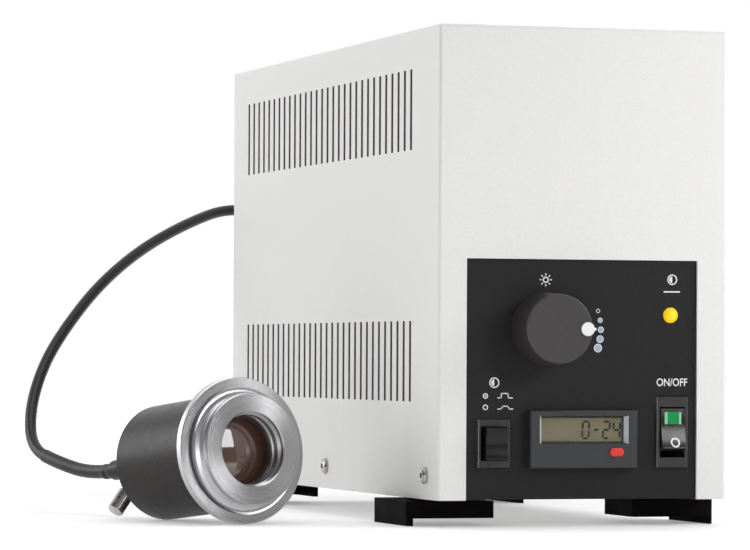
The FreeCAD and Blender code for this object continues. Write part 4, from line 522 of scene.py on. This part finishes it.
def finish_inside():
    board = Paint("board_green", (0.02, 0.13, 0.055), 0.35)
    coat(board.mottle(1.2, 0.3).relief(0.8, depth=0.01).material, "control_board")
    sheet = sheet_metal("bench_aluminium", (0.70, 0.71, 0.72), 0.4, ROLLED_ALONG_Y)
    inner = ("shaft_bracket", "optical_bench", "lamp_bracket", "optics_plate", "attenuator_vane")
    coat(sheet, *inner, "shutter_blade")
    mirror = Paint("reflector_glass", (0.75, 0.80, 0.90), 0.08, 1.0)
    coat(mirror.relief(2.5, depth=0.02).wear(4.0, 0.03).material, "lamp_reflector")
    coat(glass("burner_glass", (0.92, 0.94, 0.96)), "lamp_burner")
    coat(moulded("socket_ceramic", (0.72, 0.70, 0.64), 0.6, grain=0.5), "lamp_socket")
    coat(glass("filter_glass", (0.72, 0.93, 0.90)), "heat_filter")
    coat(moulded("solenoid_body", (0.05, 0.06, 0.09), 0.35), "shutter_solenoid")
    ballast = powder_coat("ballast_paint", (0.13, 0.14, 0.16), grain=0.5, rough=0.4)
    coat(ballast.material, "ballast_case")


def finish_rear():
    fan = moulded("fan_plastic", (0.018, 0.018, 0.018), 0.4, grain=0.3)
    coat(fan, "fan_frame", "fan_rotor")
    inlet = smooth_plastic("inlet_plastic", (0.016, 0.016, 0.016), 0.32)
    coat(inlet, "mains_inlet", "fuse_drawer", "remote_socket")
    pins = bare_metal(
        "pin_brass", (0.66, 0.55, 0.33), 0.25, grain=0.4, depth=0.004, wear=(1.5, 0.06)
    )
    coat(pins, "inlet_pins")
    axis = (middle("guide_port"), REARWARD)
    port = anodised("port_anodised", (0.025, 0.025, 0.026), 0.35, *axis)
    coat(port, "guide_port", "port_clamp_screw")
    ferrule = turned_metal("ferrule_steel", (0.66, 0.66, 0.65), 0.22, *axis, brushed=0.5)
    coat(ferrule, "guide_ferrule_lamp")


def finish_adapter():
    axis = (ADAPTER_FACE, ADAPTER_AXIS)
    ferrule = anodised("ferrule_black", (0.012, 0.012, 0.012), 0.3, *axis)
    coat(ferrule, "guide_ferrule_adapter")
    coat(anodised("adapter_anodised", (0.013, 0.010, 0.009), 0.30, *axis), "adapter_body")
    flange = turned_metal("flange_steel", (0.45, 0.45, 0.46), 0.24, *axis, brushed=0.8)
    coat(flange, "adapter_flange", "adapter_locating_pin")
    coat(anodised("ring_black", (0.05, 0.035, 0.03), 0.3, *axis), "adapter_lens_ring")
    lens = Paint("lens_glass", (0.09, 0.045, 0.032), 0.06, Coat_Weight=1.0, IOR=1.6)
    lens.mottle(30.0, 0.25, detail=1.0).relief(15.0, depth=0.004, detail=1.0, strength=0.3)
    coat(lens.material, "adapter_lens_front")
    screw = bare_metal(
        "thumbscrew_steel", (0.50, 0.49, 0.48), 0.25, grain=0.25, depth=0.003, wear=(0.6, 0.08)
    )
    coat(screw, "adapter_thumbscrew")


# ---------------------------------------------------------------- light guide
# the route's points in the CAD source, in millimetres from CORNER
GUIDE_POINTS = [
    (82, 345, 133.5),
    (82, 368, 133.5),
    (70, 392, 133.5),
    (43, 404, 133),
    (15, 391, 136),
    (-13, 366, 127),
    (-44, 337, 113),
    (-72, 307, 95),
    (-94, 281, 75),
    (-111, 258, 56),
    (-122, 238, 35),
    (-126, 216, 17),
    (-118.5, 194, 11),
    (-108.18, 170.48, 6.5),
    (-101.81, 151.65, 8.66),
]
GUIDE_RADIUS = 2.7 * MM
GUIDE_STEPS = 24
GUIDE_ROUNDNESS = 6
SLEEVE_RADIUS = 3.1 * MM
SLEEVE_LENGTH = 58 * MM
SLEEVE_LIP = 0.98
COLLAR_FROM_FACE = 102 * MM
# distance along the guide and radius, in millimetres
COLLAR_PROFILE = (
    (0, 3.15),
    (0.4, 3.45),
    (1.5, 3.45),
    (3.0, 3.45),
    (3.4, 3.25),
    (4.6, 3.25),
    (5.0, 3.45),
    (7.6, 3.45),
    (8.6, 3.3),
    (9.0, 2.9),
)
BOOT_RIBS = 5
BOOT_PITCH = 2.1
BOOT_RADIUS = 4.55
BOOT_TAPER = 0.32
# one rib: distance from its start and how far it lies below its own radius, in millimetres
BOOT_RIB = ((0.0, 0.0), (1.3, 0.1), (1.45, 0.55), (2.0, 0.6))
BOOT_END = (11.0, 3.0)
TUBE_SIDES = 32
NO_LENGTH = 1e-9


def mesh_piece(name, vertices, faces, smooth=False):
    """A new mesh object in the scene."""
    mesh = bpy.data.meshes.new(name)
    mesh.from_pydata([tuple(v) for v in vertices], [], faces)
    mesh.validate()
    if smooth:
        mesh.shade_smooth()
    piece = bpy.data.objects.new(name, mesh)
    bpy.context.scene.collection.objects.link(piece)
    return piece


def sweep(name, points, radii):
    """A closed tube round a line of points, with one radius per point."""
    sides = TUBE_SIDES
    vertices = []
    faces = []
    tangent = (points[1] - points[0]).normalized()
    across = tangent.orthogonal().normalized()
    for k, point in enumerate(points):
        ahead = points[min(k + 1, len(points) - 1)] - points[max(k - 1, 0)]
        tangent = ahead.normalized() if ahead.length > NO_LENGTH else tangent
        across = (across - tangent * across.dot(tangent)).normalized()
        other = tangent.cross(across)
        for s in range(sides):
            angle = 2 * math.pi * s / sides
            spoke = across * math.cos(angle) + other * math.sin(angle)
            vertices.append(point + spoke * radii[k])
    for k in range(len(points) - 1):
        for s in range(sides):
            t = (s + 1) % sides
            faces.append((k * sides + s, k * sides + t, (k + 1) * sides + t, (k + 1) * sides + s))
    faces.append(tuple(range(sides))[::-1])
    faces.append(tuple((len(points) - 1) * sides + s for s in range(sides)))
    return mesh_piece(name, vertices, faces, smooth=True)


def guide_curve():
    """One smooth spline whose control points are the route's points, as in the CAD source."""
    data = bpy.data.curves.new("light_guide", "CURVE")
    data.dimensions = "3D"
    spline = data.splines.new("NURBS")
    spline.points.add(len(GUIDE_POINTS) - 1)
    for point, place in zip(spline.points, GUIDE_POINTS):
        point.co = (*at(*place), 1.0)
    spline.order_u = 3
    spline.use_endpoint_u = True
    spline.resolution_u = GUIDE_STEPS
    guide = bpy.data.objects.new("light_guide", data)
    bpy.context.scene.collection.objects.link(guide)
    return guide


def spline_points(guide):
    """The guide's centre line, read from its own spline before it gets its bevel."""
    mesh = bpy.data.meshes.new_from_object(guide)
    points = [v.co.copy() for v in mesh.vertices]
    bpy.data.meshes.remove(mesh)
    return points


def last_stretch(points, length):
    """The end of the centre line, over the given length."""
    kept = [points[-1]]
    run = 0.0
    for k in range(len(points) - 1, 0, -1):
        run += (points[k] - points[k - 1]).length
        kept.append(points[k - 1])
        if run >= length:
            break
    return kept[::-1]


def add_guide():
    """The whole guide: one smooth curve, its end sleeve with a collar, and its boot."""
    guide = guide_curve()
    line = spline_points(guide)
    guide.data.bevel_depth = GUIDE_RADIUS
    guide.data.bevel_resolution = GUIDE_ROUNDNESS
    guide.data.use_fill_caps = True
    jacket = smooth_plastic(
        "guide_jacket", (0.010, 0.0095, 0.0095), 0.27, spread=0.1, Specular_IOR_Level=0.2
    )
    guide.data.materials.append(jacket)
    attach(guide, "unit")
    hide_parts("guide_tube")

    black = (0.013, 0.012, 0.012)
    rubber = moulded(
        "sleeve_rubber", black, 0.36, grain=0.4, depth=0.012, Specular_IOR_Level=0.22
    )
    stretch = last_stretch(line, SLEEVE_LENGTH)
    radii = [SLEEVE_RADIUS] * len(stretch)
    radii[0] = GUIDE_RADIUS * SLEEVE_LIP
    radii[1] = SLEEVE_RADIUS * SLEEVE_LIP
    sleeve = rubber_piece("guide_sleeve_cover", stretch, radii, rubber)
    back = ADAPTER_FACE - ADAPTER_AXIS * COLLAR_FROM_FACE
    along = [back - ADAPTER_AXIS * (distance * MM) for distance, _ in COLLAR_PROFILE]
    radii = [radius * MM for _, radius in COLLAR_PROFILE]
    collar = rubber_piece("guide_sleeve_collar", along, radii, rubber)
    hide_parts("guide_sleeve")

    boot = add_boot(rubber)


def rubber_piece(name, points, radii, rubber):
    """A rubber tube over the guide."""
    piece = sweep(name, points, radii)
    piece.data.materials.append(rubber)
    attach(piece, "unit")
    return piece


def add_boot(rubber):
    """Ribbed bend relief at the lamp end, which stands for the CAD boot."""
    start = at(*GUIDE_POINTS[0])
    profile = []
    for k in range(BOOT_RIBS):
        outer = BOOT_RADIUS - BOOT_TAPER * k
        profile += [(k * BOOT_PITCH + step, outer - drop) for step, drop in BOOT_RIB]
    profile.append(BOOT_END)
    points = [start + Vector((0, y * MM, 0)) for y, _ in profile]
    boot = rubber_piece("guide_boot", points, [r * MM for _, r in profile], rubber)
    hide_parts("guide_boot_lamp")
    return boot


# ---------------------------------------------------------------- flat printed shapes
PRINT_LIFT = 0.03 * MM
PRINT_THICKNESS = 0.02 * MM
PANEL_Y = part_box("front_panel")[0].y
PRINT_Y = PANEL_Y - PRINT_LIFT
ROUND_SIDES = 40


def print_piece(name, outlines, y, ink):
    """Flat printed shapes facing the front. Each outline is a list of (x, z) points in metres."""
    vertices = []
    faces = []
    for outline in outlines:
        first = len(vertices)
        count = len(outline)
        for depth in (0.0, -PRINT_THICKNESS):
            vertices += [(x, y + depth, z) for x, z in outline]
        faces.append(tuple(range(first, first + count)))
        faces.append(tuple(range(first + 2 * count - 1, first + count - 1, -1)))
        for k in range(count):
            t = (k + 1) % count
            faces.append((first + k, first + count + k, first + count + t, first + t))
    piece = mesh_piece(name, vertices, faces)
    piece.data.materials.append(ink)
    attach(piece, "unit")


def place(x, z):
    """A point on the panel in metres, given in millimetres from the cover's corner."""
    point = at(x, 0, z)
    return point.x, point.z


def spoke_point(x, z, radius, angle):
    """The point at a radius and an angle from (x, z)."""
    return (x + radius * math.cos(angle), z + radius * math.sin(angle))


def disc(x, z, radius):
    """A full round dot as one outline."""
    steps = [2 * math.pi * k / ROUND_SIDES for k in range(ROUND_SIDES)]
    return [[spoke_point(x, z, radius, a) for a in steps]]


def ring(x, z, outer, inner):
    """A ring as quads."""
    quads = []
    for k in range(ROUND_SIDES):
        a = math.radians(360.0 * k / ROUND_SIDES)
        b = math.radians(360.0 * (k + 1) / ROUND_SIDES)
        turns = ((inner, a), (outer, a), (outer, b), (inner, b))
        quads.append([spoke_point(x, z, radius, angle) for radius, angle in turns])
    return quads


def bar(x0, z0, x1, z1, width):
    """A straight stroke from one point to another."""
    along = Vector((x1 - x0, z1 - z0)).normalized()
    side = Vector((-along.y, along.x)) * width / 2
    ends = (Vector((x0, z0)), Vector((x1, z1)))
    corners = [ends[0] - side, ends[1] - side, ends[1] + side, ends[0] + side]
    return [[(c.x, c.y) for c in corners]]


def stroke(points, width):
    """A line of strokes with square corners, each as long as its centre line plus its width."""
    made = []
    for (x0, z0), (x1, z1) in zip(points, points[1:]):
        reach = Vector((x1 - x0, z1 - z0)).normalized() * width / 2
        made += bar(x0 - reach.x, z0 - reach.y, x1 + reach.x, z1 + reach.y, width)
    return made


# ---------------------------------------------------------------- printing on the panel
# radius in millimetres and angle in degrees of each dot round the knob
SCALE_DOTS = ((0.9, 18.4), (1.12, 9.1), (1.35, -0.2), (1.6, -9.4), (1.82, -18.4))
SCALE_ORBIT = 24.95 * MM
SCALE_STROKE = 0.28 * MM

SUN_ABOVE_KNOB = 20.9 * MM
SUN_OUTER = 1.35 * MM
SUN_INNER = 0.8 * MM
SUN_RAYS = 8
RAY_START = 1.85 * MM
RAY_END = 2.75 * MM
RAY_WIDTH = 0.5 * MM

SHUTTER_MARK_RADIUS = 2.25 * MM
SHUTTER_MARK_STROKE = 0.5 * MM
SHUTTER_MARK_INSET = 0.85 * MM
SHUTTER_MARK_STEPS = 20
SIGN_RIGHT_OF_LENS = 0.7 * MM
SIGN_ABOVE_LENS = 15.2 * MM
SIGN_LINE = ((102, 88.3), (108.8, 88.3))
SIGN_LINE_WIDTH = 0.6 * MM
SWITCH_MARK = (25.4, 49.3)

PULSE_WIDTH = 0.45 * MM
PULSE_TALL = ((27.1, 42.9), (28.6, 42.9), (28.6, 44.8), (31.6, 44.8), (31.6, 42.9), (33.5, 42.9))
PULSE_LOW = ((27.1, 38.2), (28.5, 38.2), (29.3, 39.4), (31.4, 39.4), (32.2, 38.2), (33.6, 38.2))
REMOTE_MARK = (21.5, 43.7)
OPEN_MARK = (21.5, 38.9)
ROUND_MARK_OUTER = 1.15 * MM
ROUND_MARK_INNER = 0.75 * MM
ROUND_MARK_DOT = 0.35 * MM

WORDS_PLACE = (105.6, 49.5)
WORDS_SIZE = 4.6 * MM
WORDS_WIDTH = 14.0 * MM
LETTER_WEIGHT = 0.012


def add_printing():
    ink = smooth_plastic("print_white", (0.80, 0.80, 0.80), 0.5, spread=0.03)
    dots = smooth_plastic("print_blue", (0.36, 0.46, 0.58), 0.5, spread=0.05)
    knob = middle("intensity_knob")
    lens = middle("indicator_lens")
    sign = (lens.x + SIGN_RIGHT_OF_LENS, lens.z + SIGN_ABOVE_LENS)
    add_scale(knob, ink, dots)
    add_brightness_mark(knob, ink)
    add_shutter_mark("mark_shutter_sign", *sign, ink)
    line = stroke([place(x, z) for x, z in SIGN_LINE], SIGN_LINE_WIDTH)
    print_piece("mark_shutter_sign_line", line, PRINT_Y, ink)
    add_shutter_mark("mark_shutter_switch", *place(*SWITCH_MARK), ink)
    add_pulse_marks(ink)
    add_words("mark_on_off", "ON/OFF", ink)


def add_scale(knob, ink, dots):
    """Five growing dots round the knob, one per aperture, the first one open."""
    for k, (radius, angle) in enumerate(SCALE_DOTS):
        spot = spoke_point(knob.x, knob.z, SCALE_ORBIT, math.radians(angle))
        outer = radius * MM
        inner = outer - SCALE_STROKE
        print_piece(f"scale_ring_{k + 1}", ring(*spot, outer, inner), PRINT_Y, ink)
        if k:
            print_piece(f"scale_dot_{k + 1}", disc(*spot, inner), PRINT_Y, dots)


def add_brightness_mark(knob, ink):
    """A small sun above the knob, for its brightness."""
    x = knob.x
    z = knob.z + SUN_ABOVE_KNOB
    shapes = ring(x, z, SUN_OUTER, SUN_INNER)
    for k in range(SUN_RAYS):
        angle = 2 * math.pi * k / SUN_RAYS
        near = spoke_point(x, z, RAY_START, angle)
        far = spoke_point(x, z, RAY_END, angle)
        shapes += bar(*near, *far, RAY_WIDTH)
    print_piece("mark_brightness", shapes, PRINT_Y, ink)


def add_shutter_mark(name, x, z, ink):
    """A ring with its left half filled: an opening that is half covered."""
    radius = SHUTTER_MARK_RADIUS
    shapes = ring(x, z, radius, radius - SHUTTER_MARK_STROKE)
    steps = range(SHUTTER_MARK_STEPS + 1)
    half = [math.pi / 2 + math.pi * k / SHUTTER_MARK_STEPS for k in steps]
    shapes.append([spoke_point(x, z, radius - SHUTTER_MARK_INSET, a) for a in half])
    print_piece(name, shapes, PRINT_Y, ink)


def add_pulse_marks(ink):
    """Two pulse signs beside the shutter switch: a tall one and a low one, each after a mark."""
    for name, points in (("mark_pulse_tall", PULSE_TALL), ("mark_pulse_low", PULSE_LOW)):
        line = stroke([place(x, z) for x, z in points], PULSE_WIDTH)
        print_piece(name, line, PRINT_Y, ink)
    x, z = place(*REMOTE_MARK)
    shapes = ring(x, z, ROUND_MARK_OUTER, ROUND_MARK_INNER) + disc(x, z, ROUND_MARK_DOT)
    print_piece("mark_remote", shapes, PRINT_Y, ink)
    x, z = place(*OPEN_MARK)
    print_piece("mark_open", ring(x, z, ROUND_MARK_OUTER, ROUND_MARK_INNER), PRINT_Y, ink)


def add_words(name, words, ink):
    """Lettering over the mains switch, in the panel's plane."""
    data = bpy.data.curves.new(name, "FONT")
    data.body = words
    data.align_x = "CENTER"
    data.align_y = "CENTER"
    data.size = WORDS_SIZE
    data.offset = WORDS_SIZE * LETTER_WEIGHT
    data.extrude = PRINT_THICKNESS / 2
    text = bpy.data.objects.new(name, data)
    bpy.context.scene.collection.objects.link(text)
    bpy.context.view_layer.update()
    stretch = WORDS_WIDTH / text.dimensions.x
    mesh = bpy.data.meshes.new_from_object(text)
    bpy.data.objects.remove(text)
    mesh.transform(Matrix.Diagonal((stretch, 1, 1, 1)))
    mesh.transform(Matrix.Rotation(math.radians(90), 4, "X"))
    x, z = place(*WORDS_PLACE)
    mesh.transform(Matrix.Translation((x, PRINT_Y - PRINT_THICKNESS / 2, z)))
    piece = bpy.data.objects.new(name, mesh)
    piece.data.materials.clear()
    piece.data.materials.append(ink)
    bpy.context.scene.collection.objects.link(piece)
    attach(piece, "unit")


# ---------------------------------------------------------------- digits of the hour meter
SEGMENTS = {"0": "abcdef", "2": "abdeg", "4": "bcfg", "-": "g"}
READING = "0-24"
DIGIT_WIDTH = 2.9 * MM
DIGIT_HEIGHT = 7.0 * MM
DIGIT_PITCH = 4.65 * MM
DIGIT_FROM_RIGHT = 3.85 * MM
DIGIT_FROM_LOW = 1.35 * MM
DIGIT_LIFT = 0.04 * MM
DIGIT_LEAN = 0.05
SEGMENT_WIDTH = 0.95 * MM
SEGMENT_GAP = 0.18


def segment_shapes(code, x, z):
    """Seven-segment strokes of one digit, leaning a little to the right."""
    width = DIGIT_WIDTH
    height = DIGIT_HEIGHT
    level = {"a": height, "g": height / 2, "d": 0}
    upright = {
        "f": (0, height / 2, height),
        "b": (width, height / 2, height),
        "e": (0, 0, height / 2),
        "c": (width, 0, height / 2),
    }
    half = SEGMENT_WIDTH / 2
    inset = SEGMENT_WIDTH * SEGMENT_GAP + half
    shapes = []
    for key in SEGMENTS[code]:
        if key in level:
            left, right, pz = inset, width - inset, level[key]
            points = [(left - half, pz), (left, pz + half), (right, pz + half)]
            points += [(right + half, pz), (right, pz - half), (left, pz - half)]
        else:
            px, low, high = upright[key]
            low, high = low + inset, high - inset
            points = [(px, low - half), (px + half, low), (px + half, high)]
            points += [(px, high + half), (px - half, high), (px - half, low)]
        shapes.append([(x + px + pz * DIGIT_LEAN, z + pz) for px, pz in points])
    return shapes


def add_meter_digits():
    low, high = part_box("meter_display")
    dark = Paint("digit_dark", (0.008, 0.008, 0.007), 0.6, Specular_IOR_Level=0.2)
    dark.mottle(1.0, 0.1)
    shapes = []
    for k, code in enumerate(reversed(READING)):
        x = high.x - DIGIT_FROM_RIGHT - k * DIGIT_PITCH
        shapes += segment_shapes(code, x, low.z + DIGIT_FROM_LOW)
    print_piece("meter_reading", shapes, low.y - DIGIT_LIFT, dark.material)


# ---------------------------------------------------------------- mark on the power rocker
ROCKER_RING_RIGHT = 0.4 * MM
ROCKER_RING_HEIGHT = 24.0
ROCKER_RING_OUTER = 2.1 * MM
ROCKER_RING_INNER = 1.4 * MM
ROCKER_RING_LIFTS = (0.02 * MM, 0.05 * MM)
RAY_FROM_PANEL = 0.05


def add_rocker_mark():
    """A plain ring laid on the curved lower half of the rocker."""
    white = smooth_plastic("mark_white", (0.85, 0.85, 0.85), 0.4, spread=0.02)
    x = middle("power_rocker").x + ROCKER_RING_RIGHT
    z = at(0, 0, ROCKER_RING_HEIGHT).z
    vertices = []
    faces = []
    for quad in ring(x, z, ROCKER_RING_OUTER, ROCKER_RING_INNER):
        first = len(vertices)
        spots = [rocker_face(*corner) for corner in quad]
        for lift in ROCKER_RING_LIFTS:
            vertices += [point + normal * lift for point, normal in spots]
        faces.append((first, first + 1, first + 2, first + 3))
        faces.append((first + 7, first + 6, first + 5, first + 4))
        for k in range(4):
            t = (k + 1) % 4
            faces.append((first + k, first + 4 + k, first + 4 + t, first + t))
    mark = mesh_piece("rocker_ring", vertices, faces)
    mark.data.materials.append(white)
    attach(mark, "power_key")


def rocker_face(x, z):
    """The point of the rocker's front at (x, z), and the direction out of it."""
    start = Vector((x, PANEL_Y - RAY_FROM_PANEL, z))
    hit, point, normal, _ = NODES["power_rocker"].ray_cast(start, REARWARD)
    if not hit:
        raise RuntimeError("no rocker face was found behind the mark")
    return point, normal


# ---------------------------------------------------------------- light and floor
# name, place and target in millimetres, width and height in metres, watts
LAMPS = (
    ("front_low", (-140, -430, 50), (60, 0, -30), 0.36, 0.12, 0.52),
    ("front_high", (430, -520, 330), (80, 0, 20), 0.25, 0.25, 1.3),
    ("front_right", (570, -200, 300), (120, 0, 20), 0.2, 0.2, 1.1),
    ("left", (-950, 650, 450), (0, 200, 120), 0.8, 0.8, 5.7),
    ("top", (0, 40, 1100), (40, 120, 100), 0.9, 0.9, 4.5),
)
AMBIENT = 0.30
ROOM_LEVEL = 0.30
ROOM_BACK = -0.6
ROOM_FRONT = 0.1
FLOOR_HALF = 3.0
FLOOR_GLOW = 0.30
FLOOR_GLOW_FAR = 0.85
GLOW_START = 0.25
GLOW_END = 1.2


def add_lamps():
    for name, place_mm, target_mm, width, height, power in LAMPS:
        data = bpy.data.lights.new(name, "AREA")
        data.shape = "RECTANGLE"
        data.size = width
        data.size_y = height
        data.energy = power
        light = bpy.data.objects.new(name, data)
        light.location = at(*place_mm)
        aim = at(*target_mm) - light.location
        light.rotation_mode = "QUATERNION"
        light.rotation_quaternion = aim.to_track_quat("-Z", "Y")
        bpy.context.scene.collection.objects.link(light)


def add_world():
    """White wherever the camera sees it, also through glass.

    Metal mirrors a white background too, but a darker room on the camera's side, and the
    light that the world sheds is at the ambient level.
    """
    world = bpy.data.worlds.new("studio")
    bpy.context.scene.world = world
    world.use_nodes = True
    nodes = world.node_tree.nodes
    links = world.node_tree.links
    level = smooth_range(nodes, links, seen_share(nodes, links), 0, 1, AMBIENT, 1.0)
    direction = nodes.new("ShaderNodeSeparateXYZ")
    links.new(nodes.new("ShaderNodeTexCoord").outputs["Generated"], direction.inputs["Vector"])
    depth = direction.outputs["Y"]
    room = smooth_range(nodes, links, depth, ROOM_BACK, ROOM_FRONT, ROOM_LEVEL, 1.0)
    lit = math_node(nodes, links, "MULTIPLY", level, room)
    plain = seen_share(nodes, links, ["Is Transmission Ray"])
    background = nodes["Background"]
    links.new(math_node(nodes, links, "MAXIMUM", lit, plain), background.inputs["Strength"])
    background.inputs["Color"].default_value = (1, 1, 1, 1)


def add_floor():
    """A plain white floor that runs into the background and keeps the object's shadow."""
    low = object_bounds()[0].z
    half = FLOOR_HALF
    corners = [(-half, -half, low), (half, -half, low), (half, half, low), (-half, half, low)]
    mesh = bpy.data.meshes.new("floor")
    mesh.from_pydata(corners, [], [(0, 1, 2, 3)])
    floor = bpy.data.objects.new("floor", mesh)
    bpy.context.scene.collection.objects.link(floor)
    paint = Paint("floor_white", (0.9, 0.9, 0.9), 0.6).mottle(60.0, 0.01)
    nodes = paint.nodes
    links = paint.links
    away = paint.vector("LENGTH", paint.coordinates)["Value"]
    glow = smooth_range(nodes, links, away, GLOW_START, GLOW_END, FLOOR_GLOW, FLOOR_GLOW_FAR)
    shown = paint.math("MULTIPLY", glow, seen_share(nodes, links))
    links.new(shown, paint.shader.inputs["Emission Strength"])
    paint.set("Emission Color", (1, 1, 1, 1))
    floor.data.materials.append(paint.material)


# ---------------------------------------------------------------- build
def main():
    bpy.context.scene.view_settings.view_transform = "Standard"
    add_camera()
    finish_housing()
    finish_knob()
    finish_indicator()
    finish_meter()
    finish_switches()
    finish_inside()
    finish_rear()
    finish_adapter()
    add_guide()
    add_printing()
    add_meter_digits()
    add_rocker_mark()
    add_lamps()
    add_world()
    add_floor()


main()
